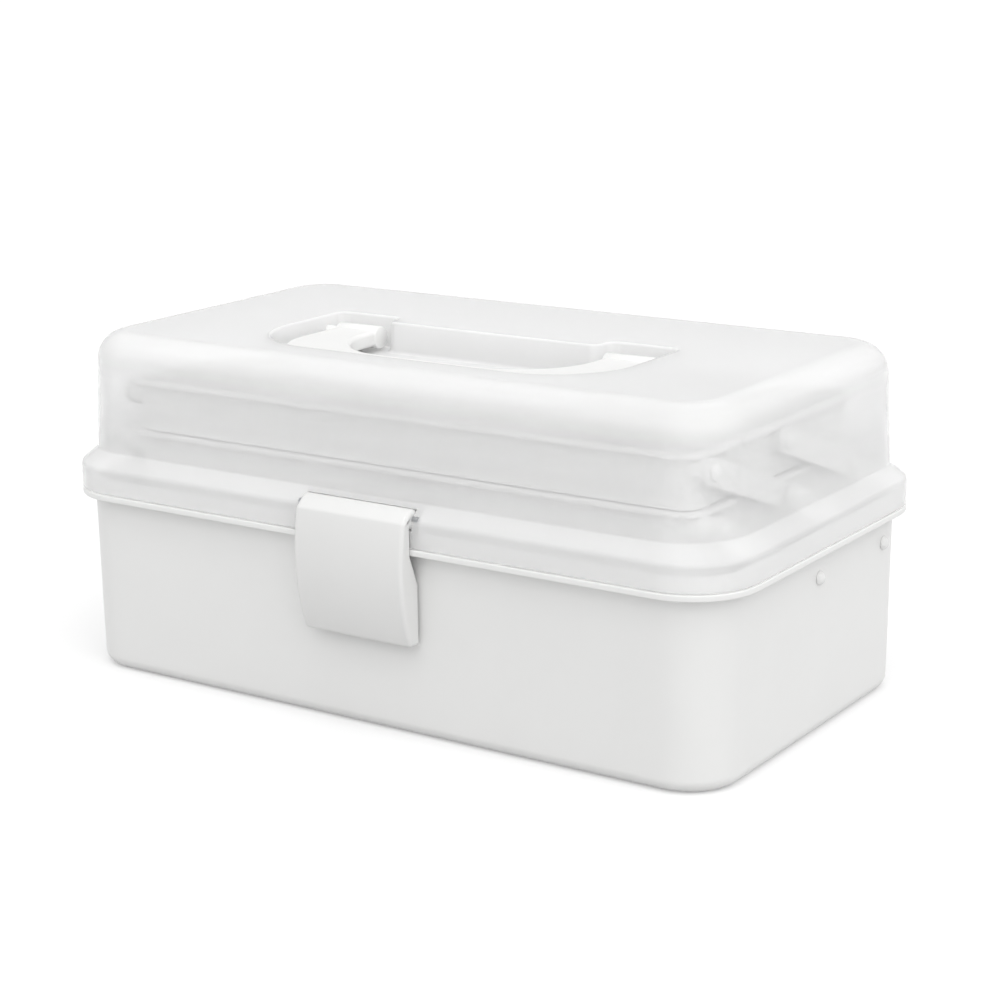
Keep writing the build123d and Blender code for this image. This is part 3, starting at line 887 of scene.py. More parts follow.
@dataclass
class ClearLid(SubAssembly):
    """The clear lid: flared skirt, shoulder, leaning walls, rounded roof and the sunk handle recess."""

    rim: Rim
    hinge: Hinge
    latch: Pivot
    handle: Pivot
    material: bpy.types.Material
    well_material: bpy.types.Material
    wall: float = 2.0
    bottom: float = 81.6
    lip_rise: float = 3.0
    lip_radius: float = 0.6
    knee: float = 92.6
    knee_radius: float = 4.0
    shoulder: float = 99.0
    shoulder_run: float = 5.95
    shoulder_corner: float = 27.0
    shoulder_radius: float = 1.6
    shoulder_inner_radius: float = 3.0
    lean: float = 2.2
    top: float = 149.65
    roof_radius: float = 12.4
    roof_margin: float = 0.8
    recess_floor: float = 136.05
    recess_half: float = 87.0
    recess_front: float = -59.0
    recess_corner: float = 36.0
    recess_back: float = 4.0
    lobe_back: float = 15.5
    lobe_side: float = 54.0
    lobe_corner: float = 5.0
    recess_draft: float = 3.0
    mouth_margin: float = 2.4
    mouth_radius: float = 1.2
    floor_margin: float = 3.6
    floor_radius: float = 1.6
    under_radius: float = 2.6
    well_margin: float = 0.4
    well_depth: float = 1.0
    level_face: float = 0.99
    pocket_half: float = 27.15
    pocket_floor: float = 88.9
    pocket_top: float = 97.4
    pocket_slant: float = 4.5
    pocket_reach: float = 8.0
    pocket_edge: float = 0.3
    housing_front: float = 1.0
    housing_back: float = 0.15
    housing_sink: float = 0.4
    housing_rise: float = 1.5
    housing_depth: float = 1.1

    def corner(self, inset: float, depth: float) -> float:
        """Works out the corner radius of a ring.

        Args:
            inset: How far in from the rim the ring is.
            depth: How far inside the outer skin it is.

        Returns:
            The radius.
        """
        outer = inset - depth
        slope = (self.rim.corner - self.shoulder_corner) / self.shoulder_run
        if outer < self.shoulder_run:
            return self.rim.corner - slope * outer - depth
        return self.shoulder_corner + self.shoulder_run - outer - depth

    def recess_outline(self) -> list[Flat]:
        """Draws the recess at the roof, with its two rear lobes.

        Returns:
            The outline's points, counter-clockwise.
        """
        half, lobe, corner, small = self.recess_half, self.lobe_side, self.recess_corner, self.lobe_corner
        return rounded([(-half, self.recess_front, corner), (half, self.recess_front, corner),
                        (half, self.lobe_back, small), (lobe, self.lobe_back, small),
                        (lobe, self.recess_back, small), (-lobe, self.recess_back, small),
                        (-lobe, self.lobe_back, small), (-half, self.lobe_back, small)], True, PLAN_TURN)

    def build(self) -> list[bpy.types.Object]:
        """Builds the lid and ties it to its body.

        Returns:
            The lid.
        """
        skin = Skin()
        wall, top = self.wall, self.top
        drop = wall * tan(atan2(self.shoulder_run, self.shoulder - self.knee) / 2)
        brow = self.shoulder_run + self.lean
        flat = brow + self.roof_radius + self.roof_margin
        rise = self.bottom + self.lip_rise
        inner = rounded([(flat, top - wall, 0), (brow + wall, top - wall, self.roof_radius - wall),
                         (self.shoulder_run + wall, self.shoulder - drop, self.shoulder_inner_radius),
                         (wall, self.knee - drop, self.knee_radius - wall), (wall, rise, 0)], step=ROOF_TURN)
        outer = rounded([(0, rise, 0), (0, self.knee, self.knee_radius),
                         (self.shoulder_run, self.shoulder, self.shoulder_radius),
                         (brow, top, self.roof_radius), (flat, top, 0)], step=ROOF_TURN)
        lip = rounded([(wall, rise, 0), (wall, self.bottom, self.lip_radius),
                       (0, self.bottom, self.lip_radius), (0, rise, 0)], step=LIP_TURN)
        rings = [skin.level(self.rim.ring(inset, self.corner(inset, wall)), z) for inset, z in inner]
        rings += [skin.level(self.rim.ring(inset), z) for inset, z in lip[1:-1]]
        rings += [skin.level(self.rim.ring(inset, self.corner(inset, 0)), z) for inset, z in outer]
        skin.strip(rings)
        mouth, under = self.add_recess(skin)
        skin.fill([rings[-1], mouth], UP)
        skin.fill([rings[0], under], DOWN)
        shell = carved(skin.mesh("lid"), [self.housing()] + self.knuckles(), [self.pocket(), self.bores()])
        lid = place_piece("clear_lid", shell, self.material, "lid", ["lid_shell", "handle_well"])
        self.dress_well(shell)
        return [lid]

    def dress_well(self, mesh: bpy.types.Mesh) -> None:
        """Gives the faces of the handle's well and of the latch's pocket their own finish.

        Args:
            mesh: The lid's mesh.
        """
        mesh.materials.append(self.well_material)
        edge = self.wall + self.well_margin
        skirt = -self.rim.width / 2 + self.shoulder_run
        for face in mesh.polygons:
            x, y, z = (axis / MM for axis in face.center)
            inside = abs(x) < self.recess_half + edge and self.recess_front - edge < y < self.lobe_back + edge
            roof = abs(face.normal.z) > self.level_face and z > self.top - self.wall - self.well_depth
            well = inside and z > self.recess_floor - self.wall - self.well_depth and not roof
            pocket = (abs(x) < self.pocket_half + TOUCH and y < skirt + TOUCH
                      and self.pocket_floor - TOUCH < z < self.pocket_top + TOUCH)
            if well or pocket:
                face.material_index = 1

    def add_recess(self, skin: Skin) -> tuple[list[int], list[int]]:
        """Adds the recess's own wall, above and below.

        Args:
            skin: The skin that gets it.

        Returns:
            The loops that meet the roof above and below.
        """
        outline = self.recess_outline()
        wall, top, floor = self.wall, self.top, self.recess_floor
        depth = top - floor
        taper = tan(radians(self.recess_draft))
        above = rounded([(self.mouth_margin, top, 0), (0, top, self.mouth_radius),
                         (-depth * taper, floor, self.floor_radius), (-self.floor_margin, floor, 0)],
                        step=EDGE_TURN)
        below = rounded([(-self.floor_margin, floor - wall, 0),
                         (wall - (depth + wall) * taper, floor - wall, self.under_radius),
                         (wall - wall * taper, top - wall, self.mouth_radius),
                         (self.mouth_margin + wall, top - wall, 0)], step=EDGE_TURN)
        upper = [skin.level(grown(outline, out), z) for out, z in above]
        lower = [skin.level(grown(outline, out), z) for out, z in below]
        skin.strip(upper)
        skin.strip(lower)
        skin.fill([upper[-1]], UP)
        skin.fill([lower[0]], DOWN)
        return upper[0], lower[-1]

    def housing(self) -> bpy.types.Mesh:
        """Makes the block behind the skirt that the latch's pocket is sunk in.

        Returns:
            The block's mesh.
        """
        skin = Skin()
        front = -self.rim.width / 2 + self.housing_front
        skirt = -self.rim.width / 2 + self.shoulder_run + self.wall
        back, step = skirt + self.housing_back, skirt - self.housing_depth
        low, high = self.pocket_floor - self.wall, self.shoulder + self.housing_rise
        outline = [(front, self.knee - self.housing_sink), (front, low), (back, low), (back, high),
                   (step, high), (step, self.shoulder - self.housing_sink)]
        half = self.pocket_half + self.wall
        skin.plate(outline, -half, half, self.pocket_edge, upright_place)
        return skin.mesh("housing")

    def pocket(self) -> bpy.types.Mesh:
        """Makes the room that is cut for the latch, with a slant over the latch's knuckle.

        Returns:
            The room's mesh.
        """
        skin = Skin()
        front = -self.rim.width / 2 - self.pocket_reach
        back = -self.rim.width / 2 + self.shoulder_run
        slant = self.latch.axis[0] + self.latch.axis[1] + sqrt(2) * self.pocket_slant
        outline = [(front, self.pocket_top), (front, self.pocket_floor), (back, self.pocket_floor),
                   (back, slant - back), (slant - self.pocket_top, self.pocket_top)]
        skin.plate(outline, -self.pocket_half, self.pocket_half, self.pocket_edge, upright_place)
        return skin.mesh("pocket")

    def knuckles(self) -> list[bpy.types.Mesh]:
        """Makes the lid's two hinge knuckles.

        Returns:
            The knuckles' meshes.
        """
        hinge = self.hinge
        root = self.rim.width / 2 - self.wall / 2
        outline = eye_outline(hinge.axis, hinge.eye_radius, root, self.bottom, self.bottom + hinge.eye_radius)
        hole = circle(hinge.axis, hinge.pin_radius + RUNNING_CLEARANCE, HOLE_SIDES)
        half = hinge.knuckle_width / 2
        meshes = []
        for side in Side:
            skin = Skin()
            middle = side.value * hinge.side
            skin.plate(outline, middle - half, middle + half, hinge.edge, upright_place, [hole])
            meshes.append(skin.mesh("knuckle"))
        return meshes

    def bores(self) -> bpy.types.Mesh:
        """Makes the bores of the latch's pin and of the handle's trunnions.

        Returns:
            The bores' mesh.
        """
        skin = Skin()
        reach = self.pocket_half + self.wall + TOUCH
        pin = self.latch.radius + SEAT_CLEARANCE
        trunnion = self.handle.radius + RUNNING_CLEARANCE
        skin.turned([(reach, pin), (-reach, pin)], self.latch.axis)
        for side in Side:
            skin.turned([(self.recess_half + 2 * self.wall, trunnion),
                         (self.recess_half - 2 * self.wall, trunnion)], self.handle.axis, side.value)
        return skin.mesh("bores")


@dataclass
class CarryHandle(SubAssembly):
    """The folding handle: a flat U with soft edges, round eyes and a trunnion at each end."""

    pivot: Pivot
    material: bpy.types.Material
    half: float = 80.0
    front: float = -56.0
    grip: float = 16.0
    leg: float = 22.0
    leg_end: float = 1.0
    leg_corner: float = 3.0
    thickness: float = 7.0
    corner: float = 32.0
    inner_corner: float = 34.0
    edge: float = 2.0
    eye_radius: float = 5.0
    eye_face: float = 0.25
    trunnion_end: float = 88.0
    trunnion_root: float = 2.0
    trunnion_chamfer: float = 0.5

    def outline(self) -> list[Flat]:
        """Draws the U from above.

        Returns:
            The outline's points, counter-clockwise.
        """
        half, inner, small = self.half, self.half - self.leg, self.leg_corner
        back, grip = self.pivot.axis[0] + self.leg_end, self.front + self.grip
        return rounded([(-half, self.front, self.corner), (half, self.front, self.corner),
                        (half, back, small), (inner, back, small), (inner, grip, self.inner_corner),
                        (-inner, grip, self.inner_corner), (-inner, back, small), (-half, back, small)],
                       True, PLAN_TURN)

    def build(self) -> list[bpy.types.Object]:
        """Builds the handle and ties it to its body.

        Returns:
            The handle.
        """
        skin = Skin()
        axis, rod = self.pivot.axis, self.pivot.radius
        skin.plate(self.outline(), axis[1] - self.thickness / 2, axis[1] + self.thickness / 2, self.edge,
                   flat_place)
        high, low = self.half + self.eye_face, self.half - self.leg - self.eye_face
        eye = soft_end(high, self.eye_radius, -1) + soft_end(low, self.eye_radius, 1)[::-1]
        trunnion = [(self.trunnion_end, rod - self.trunnion_chamfer),
                    (self.trunnion_end - self.trunnion_chamfer, rod), (self.half - self.trunnion_root, rod)]
        ends = []
        for side in Side:
            for profile in (eye, trunnion):
                end = Skin()
                end.turned(profile, axis, side.value)
                ends.append(end.mesh("end"))
        solid = carved(skin.mesh("handle"), ends, [])
        return [place_piece("handle", solid, self.material, "handle", ["carry_handle"])]


@dataclass
class FrontLatch(SubAssembly):
    """The bowed latch: a moulded cover with cheeks, hollow behind, a hinge knuckle and a snap rib."""

    rim: Rim
    pivot: Pivot
    material: bpy.types.Material
    half: float = 27.0
    knuckle_radius: float = 4.0
    foot: float = 40.6
    brow_overhang: float = 5.1
    brow_drop: float = 0.5
    brow_radius: float = 2.5
    bulge: float = 7.4
    bulge_z: float = 73.5
    toe: float = 1.2
    toe_radius: float = 2.4
    side_radius: float = 1.8
    skin_thickness: float = 2.6
    rim_gap: float = 0.4
    snap_gap: float = 0.12
    cheek_depth: float = 4.6
    cheek_high: float = 66.0
    cheek_radius: float = 3.0
    rib: float = 1.8
    hollow_top: float = 86.7
    hollow_drop: float = 6.0
    hollow_reach: float = 12.0
    hollow_edge: float = 0.5
    hollow_steps: int = 12
    bore_past: float = 2.0
    sharp: float = 32.0
    knuckle_steps: int = 30
    bow_steps: int = 24
    crown_steps: int = 4
    toe_steps: int = 2

    def bow(self) -> tuple[Vector, float]:
        """Fits the bowed front through the brow's crease, the bulge and the heel.

        Returns:
            The middle as (y, z) and the radius.
        """
        a, b, c = self.crease(), Vector((self.edge() - self.bulge, self.bulge_z)), self.heel()
        d = 2 * (a.x * (b.y - c.y) + b.x * (c.y - a.y) + c.x * (a.y - b.y))
        middle = Vector(((a.dot(a) * (b.y - c.y) + b.dot(b) * (c.y - a.y) + c.dot(c) * (a.y - b.y)) / d,
                         (a.dot(a) * (c.x - b.x) + b.dot(b) * (a.x - c.x) + c.dot(c) * (b.x - a.x)) / d))
        return middle, (a - middle).length

    def edge(self) -> float:
        """The plane of the rim's front edge."""
        return -self.rim.width / 2

    def crease(self) -> Vector:
        """The crease under the brow as (y, z)."""
        return Vector((self.edge() - self.brow_overhang, self.pivot.axis[1] - self.brow_drop))

    def heel(self) -> Vector:
        """The front of the latch's foot as (y, z)."""
        return Vector((self.edge() - self.toe, self.foot))

    def snap(self) -> float:
        """The level of the snap rib's upper face."""
        return self.rim.underside - self.rim_gap

    def front(self, z: float, deep: float = 0.0) -> float:
        """Where the bowed front is at a height, or a surface that lies deep behind it."""
        middle, radius = self.bow()
        return middle.x - sqrt((radius - deep) ** 2 - (z - middle.y) ** 2)

    def side_outline(self) -> list[Flat]:
        """Draws the latch from the side as (y, z), from the top of the knuckle.

        Returns:
            The outline's points, counter-clockwise.
        """
        middle, radius, edge = Vector(self.pivot.axis), self.knuckle_radius, self.edge() - self.rim_gap
        crease, heel, snap = self.crease(), self.heel(), self.snap()
        reach = crease - middle
        brow = atan2(reach.y, reach.x) - acos(radius / reach.length)
        start = middle + radius * Vector((cos(brow), sin(brow)))
        heights = [self.foot + (crease.y - self.foot) * t / self.bow_steps for t in range(self.bow_steps + 1)]
        bow = [(self.front(z), z) for z in heights]
        wall = self.edge() + self.cheek_depth
        back = rounded([(wall, self.foot, 0), (wall, self.cheek_high, self.cheek_radius),
                        (self.edge() - self.snap_gap, snap, 0)])
        crown = rounded([(start.x, start.y, 0), (crease.x, crease.y, self.brow_radius),
                         (*bow[-self.crown_steps], 0)], step=CROWN_TURN)
        toe = rounded([(*bow[self.toe_steps], 0), (heel.x, heel.y, self.toe_radius), (*back[0], 0)],
                      step=TOE_TURN)
        under = 2 * pi - acos((edge - middle.x) / radius)
        sweep = brow + 4 * pi - under
        turns = [under + sweep * t / self.knuckle_steps for t in range(self.knuckle_steps)]
        knuckle = [(middle.x + radius * cos(turn), middle.y + radius * sin(turn)) for turn in turns]
        between = bow[-self.crown_steps - 1:self.toe_steps:-1]
        return crown + between + toe[1:-1] + back + [(edge, snap)] + knuckle

    def hollow(self, low: float, high: float) -> bpy.types.Mesh:
        """Makes the room behind the cover between two heights, open to the back.

        Args:
            low: The room's lower level.
            high: The room's upper level.

        Returns:
            The room's mesh.
        """
        skin = Skin()
        heights = [high + (low - high) * t / self.hollow_steps for t in range(self.hollow_steps + 1)]
        outline = [(self.front(z, self.skin_thickness), z) for z in heights]
        back = self.edge() + self.hollow_reach
        outline += [(back, low), (back, high)]
        inside = self.half - self.skin_thickness
        skin.plate(outline, -inside, inside, self.hollow_edge, upright_place)
        return skin.mesh("hollow")

    def build(self) -> list[bpy.types.Object]:
        """Builds the latch and ties it to its body.

        Returns:
            The latch.
        """
        skin = Skin()
        skin.plate(self.side_outline(), -self.half, self.half, self.side_radius, upright_place)
        bore = Skin()
        reach, pin = self.half + self.bore_past, self.pivot.radius + RUNNING_CLEARANCE
        bore.turned([(reach, pin), (-reach, pin)], self.pivot.axis)
        rooms = [self.hollow(self.foot - self.hollow_drop, self.snap() - self.rib),
                 self.hollow(self.snap(), self.hollow_top)]
        cover = carved(skin.mesh("latch"), [], rooms + [bore.mesh("bore")], self.sharp)
        return [place_piece("latch", cover, self.material, "latch", ["front_latch"])]


@dataclass
class Tray(SubAssembly):
    """One cantilever tray: a shallow drafted tray with a flat rim and the bosses of its arms."""

    tier: Tier
    linkage: Linkage
    material: bpy.types.Material
    top: float
    height: float
    length: float = 284.0
    width: float = 142.0
    corner: float = 12.0
    overhang: float = 3.0
    rim_thickness: float = 1.8
    rim_radius: float = 0.6
    under_radius: float = 0.5
    wall: float = 1.7
    floor: float = 1.8
    draft: float = 1.5
    foot: float = 0.7
    flat_inset: float = 9.0

    def ring(self, inset: float) -> list[Flat]:
        """The tray's outline from above, moved in."""
        return rounded_rectangle(self.length - 2 * inset, self.width - 2 * inset, self.corner - inset)

    def build(self) -> list[bpy.types.Object]:
        """Builds the tray and ties it to its body.

        Returns:
            The tray.
        """
        skin = Skin()
        base = self.top - self.height
        lean = tan(radians(self.draft))
        under = self.top - self.rim_thickness
        inside = self.overhang + self.wall
        path = rounded([(self.flat_inset, base, 0), (self.overhang + (under - base) * lean, base, self.foot),
                        (self.overhang, under, self.under_radius), (0, under, self.under_radius),
                        (0, self.top, self.rim_radius), (inside, self.top, self.rim_radius),
                        (inside + (self.height - self.floor) * lean, base + self.floor, self.foot),
                        (self.flat_inset, base + self.floor, 0)])
        skin.vessel([skin.level(self.ring(inset), z) for inset, z in path])
        radius = self.linkage.boss_radius
        for side in Side:
            for pivot, face in self.bosses():
                skin.turned(soft_end(face, radius, -1) + [(0, radius)], pivot, side.value, self.wall_middle)
        name = self.tier.value
        return [place_piece(name, skin.mesh(name), self.material, name, [name])]

    def bosses(self) -> list[tuple[Flat, float]]:
        """Lists the bosses of one end.

        Returns:
            Each boss as its pivot and the plane that it reaches to.
        """
        link = self.linkage
        near, far = link.inner_face - link.face_gap, link.outer_face - link.face_gap
        if self.tier is Tier.LOWER:
            return [(link.lower[0], far), (link.lower[1], near), (link.lower[2], near)]
        return [(pivot, near) for pivot in link.upper]

    def wall_middle(self, y: float) -> float:
        """Finds the middle of the end wall's thickness, round the corner too.

        Args:
            y: The place along the wall.

        Returns:
            How far out the middle is.
        """
        radius = self.corner - self.overhang - self.wall / 2
        past = max(0.0, abs(y) - (self.width / 2 - self.corner))
        return self.length / 2 - self.corner + sqrt(max(0.0, radius ** 2 - past ** 2))


@dataclass
class SwingArms(SubAssembly):
    """Pairs of flat round-ended arms. Geometry Nodes set each pair at the two ends of the box."""

    linkage: Linkage
    material: bpy.types.Material
    end_steps: int = 18

    def build(self) -> list[bpy.types.Object]:
        """Builds the four pairs and ties each to its body.

        Returns:
            The pairs.
        """
        link, tree = self.linkage, self.pair_tree()
        half = link.arm_thickness / 2
        pieces = []
        for pair in Pair:
            foot, head, face = link.arm(pair)
            skin = Skin()
            holes = [circle(pivot, link.pin_radius + RUNNING_CLEARANCE, HOLE_SIDES) for pivot in (foot, head)]
            skin.plate(self.outline(foot, head), -half, half, link.arm_edge, upright_place, holes)
            mesh = run_tree(skin.mesh(pair.value), tree,
                            {"Reach": (face + half) * MM, "Finish": self.material})
            name = f"{pair.value}_arms"
            nodes = [f"{pair.value}_arm_{side.name.lower()}" for side in Side]
            pieces.append(place_piece(name, mesh, self.material, name, nodes))
        return pieces

    def outline(self, foot: Flat, head: Flat) -> list[Flat]:
        """Draws the round-ended outline of an arm.

        Args:
            foot: The arm's lower pivot.
            head: Its upper pivot.

        Returns:
            The outline's points, counter-clockwise.
        """
        radius = self.linkage.arm_width / 2
        lean = atan2(head[1] - foot[1], head[0] - foot[0])
        points: list[Flat] = []
        for middle, start in ((head, lean - pi / 2), (foot, lean + pi / 2)):
            turns = [start + pi * t / self.end_steps for t in range(self.end_steps + 1)]
            points += [(middle[0] + radius * cos(turn), middle[1] + radius * sin(turn)) for turn in turns]
        return points

    def pair_tree(self) -> bpy.types.NodeTree:
        """Makes a node tree that sets its mesh at two points, left and right.

        Returns:
            The tree, with a Reach input for how far out each arm stands.
        """
        tree, given = start_tree("arm_pair", ["Reach"])
        left = add_node(tree, "ShaderNodeMath", {1: -1.0}, {0: given["Reach"]}, operation="MULTIPLY")
        start = add_node(tree, "ShaderNodeCombineXYZ", links={"X": left.outputs[0]})
        end = add_node(tree, "ShaderNodeCombineXYZ", links={"X": given["Reach"]})
        ends = add_node(tree, "GeometryNodeMeshLine", {"Count": 2},
                        {"Start Location": start.outputs[0], "Offset": end.outputs[0]}, mode="END_POINTS")
        spread = add_node(tree, "GeometryNodeInstanceOnPoints",
                          links={"Points": ends.outputs["Mesh"], "Instance": given["Geometry"]})
        end_tree(tree, spread.outputs["Instances"], given["Finish"])
        return tree


@dataclass
class PivotPins(SubAssembly):
    """The dome-headed pivot pins, set by Geometry Nodes on points that carry each pin's reach."""

    linkage: Linkage
    material: bpy.types.Material
    head_radius: float = 3.5
    tub_head_radius: float = 2.9
    head_height: float = 2.2
    collar_height: float = 1.4
    wall_face: float = 159.43
    tray_tip: float = 138.5
    sharp: float = 42.0
    round_sides: int = 32
    dome_rings: int = 16
    shank_sides: int = 24

    def build(self) -> list[bpy.types.Object]:
        """Builds the pins of each end of the tub and of each tray.

        Returns:
            The pins, one piece for each end.
        """
        link, tree = self.linkage, self.pin_tree()
        near = link.inner_face + link.arm_thickness + link.face_gap
        far = link.outer_face + link.arm_thickness + link.face_gap
        collar_tip = link.outer_face - link.face_gap - self.collar_height
        groups = {"base": [(pivot, self.wall_face, collar_tip) for pivot in link.tub],
                  "lower_tray": [(pivot, face, self.tray_tip)
                                 for pivot, face in zip(link.lower, (far, far, near))],
                  "upper_tray": [(pivot, near, self.tray_tip) for pivot in link.upper]}
        pieces = []
        for body, pins in groups.items():
            on_tub = body == "base"
            sizes = {"Head radius": self.tub_head_radius if on_tub else self.head_radius,
                     "Head height": self.head_height, "Shank radius": link.pin_radius,
                     "Collar radius": self.head_radius,
                     "Collar height": self.collar_height if on_tub else 0.0}
            inputs = {label: size * MM for label, size in sizes.items()} | {"Finish": self.material}
            for side in Side:
                name = f"{body}_pins_{side.name.lower()}"
                mesh = run_tree(self.points(pins, side), tree, inputs, self.sharp)
                pieces.append(place_piece(f"{name}_domes", mesh, self.material, body, [name]))
        return pieces

    def points(self, pins: Sequence[tuple[Flat, float, float]], side: Side) -> bpy.types.Mesh:
        """Makes a mesh of bare points at the pins' head faces.

        Args:
            pins: Each pin as its pivot, the plane of its head and its tip.
            side: The end of the box.

        Returns:
            The mesh, with the attributes reach and turn.
        """
        mesh = bpy.data.meshes.new("pin_points")
        mesh.from_pydata([(side.value * face * MM, y * MM, z * MM) for (y, z), face, _ in pins], [], [])
        reach = mesh.attributes.new("reach", "FLOAT", "POINT")
        turn = mesh.attributes.new("turn", "FLOAT", "POINT")
        reach.data.foreach_set("value", [(face - tip) * MM for _, face, tip in pins])
        turn.data.foreach_set("value", [0.0 if side is Side.RIGHT else pi for _ in pins])
        return mesh

    def pin_tree(self) -> bpy.types.NodeTree:
        """Makes a node tree that puts a domed head, a shank and a collar on each point.

        Returns:
            The tree, with inputs for the pin's sizes.
        """
        tree, given = start_tree("dome_pins", ["Head radius", "Head height", "Shank radius", "Collar radius",
                                               "Collar height"])
        reach = add_node(tree, "GeometryNodeInputNamedAttribute", {"Name": "reach"}).outputs["Attribute"]
        turn = add_node(tree, "GeometryNodeInputNamedAttribute", {"Name": "turn"}).outputs["Attribute"]
        facing = add_node(tree, "ShaderNodeCombineXYZ", links={"Z": turn}).outputs[0]
        heads = add_node(tree, "GeometryNodeInstanceOnPoints",
                         links={"Points": given["Geometry"], "Instance": self.dome(tree, given),
                                "Rotation": facing})
        rod = add_node(tree, "GeometryNodeMeshCylinder", {"Vertices": self.shank_sides, "Depth": 1.0},
                       {"Radius": given["Shank radius"]})
        level = add_node(tree, "GeometryNodeTransform",
                         {"Rotation": (0.0, pi / 2, 0.0), "Translation": (-0.5, 0.0, 0.0)},
                         {"Geometry": rod.outputs["Mesh"]})
        stretch = add_node(tree, "ShaderNodeCombineXYZ", {"Y": 1.0, "Z": 1.0}, {"X": reach})
        shanks = add_node(tree, "GeometryNodeInstanceOnPoints",
                          links={"Points": given["Geometry"], "Instance": level.outputs["Geometry"],
                                 "Rotation": facing, "Scale": stretch.outputs[0]})
        back = add_node(tree, "ShaderNodeMath", {1: -1.0}, {0: reach}, operation="MULTIPLY")
        inward = add_node(tree, "ShaderNodeCombineXYZ", links={"X": back.outputs[0]})
        swung = add_node(tree, "ShaderNodeVectorRotate", links={"Vector": inward.outputs[0], "Angle": turn})
        tips = add_node(tree, "GeometryNodeSetPosition",
                        links={"Geometry": given["Geometry"], "Offset": swung.outputs[0]})
        wanted = add_node(tree, "FunctionNodeCompare", {1: 0.0}, {0: given["Collar height"]},
                          operation="GREATER_THAN")
        collars = add_node(tree, "GeometryNodeInstanceOnPoints",
                           links={"Points": tips.outputs["Geometry"], "Instance": self.collar(tree, given),
                                  "Rotation": facing, "Selection": wanted.outputs[0]})
        every = add_node(tree, "GeometryNodeJoinGeometry")
        for part in (heads, shanks, collars):
            tree.links.new(part.outputs["Instances"], every.inputs[0])
        end_tree(tree, every.outputs[0], given["Finish"])
        return tree

    def dome(self, tree: bpy.types.NodeTree, given: bpy.types.NodeOutputs) -> bpy.types.NodeSocket:
        """Adds the nodes of a domed head: half a ball, drawn to the head's height and radius.

        Args:
            tree: The tree that gets the nodes.
            given: The sockets of what the tree is given.

        Returns:
            The socket that gives the head.
        """
        ball = add_node(tree, "GeometryNodeMeshUVSphere",
                        {"Segments": self.round_sides, "Rings": self.dome_rings, "Radius": 1.0})
        laid = add_node(tree, "GeometryNodeTransform", {"Rotation": (0.0, pi / 2, 0.0)},
                        {"Geometry": ball.outputs["Mesh"]})
        place = add_node(tree, "GeometryNodeInputPosition").outputs[0]
        spot = add_node(tree, "ShaderNodeSeparateXYZ", links={0: place}).outputs
        ahead = add_node(tree, "ShaderNodeMath", {1: 0.0}, {0: spot["X"]}, operation="MAXIMUM").outputs[0]
        factors = ((ahead, given["Head height"]), (spot["Y"], given["Head radius"]),
                   (spot["Z"], given["Head radius"]))
        drawn = [add_node(tree, "ShaderNodeMath", links=dict(enumerate(pair)),
                          operation="MULTIPLY").outputs[0] for pair in factors]
        form = add_node(tree, "ShaderNodeCombineXYZ", links=dict(enumerate(drawn)))
        head = add_node(tree, "GeometryNodeSetPosition",
                        links={"Geometry": laid.outputs["Geometry"], "Position": form.outputs[0]})
        return head.outputs["Geometry"]

    def collar(self, tree: bpy.types.NodeTree, given: bpy.types.NodeOutputs) -> bpy.types.NodeSocket:
        """Adds the nodes of a collar: a disc that starts at the pin's tip.

        Args:
            tree: The tree that gets the nodes.
            given: The sockets of what the tree is given.

        Returns:
            The socket that gives the collar.
        """
        disc = add_node(tree, "GeometryNodeMeshCylinder", {"Vertices": self.round_sides},
                        {"Radius": given["Collar radius"], "Depth": given["Collar height"]})
        half = add_node(tree, "ShaderNodeMath", {1: 0.5}, {0: given["Collar height"]}, operation="MULTIPLY")
        inset = add_node(tree, "ShaderNodeCombineXYZ", links={"X": half.outputs[0]})
        collar = add_node(tree, "GeometryNodeTransform", {"Rotation": (0.0, pi / 2, 0.0)},
                          {"Geometry": disc.outputs["Mesh"], "Translation": inset.outputs[0]})
        return collar.outputs["Geometry"]


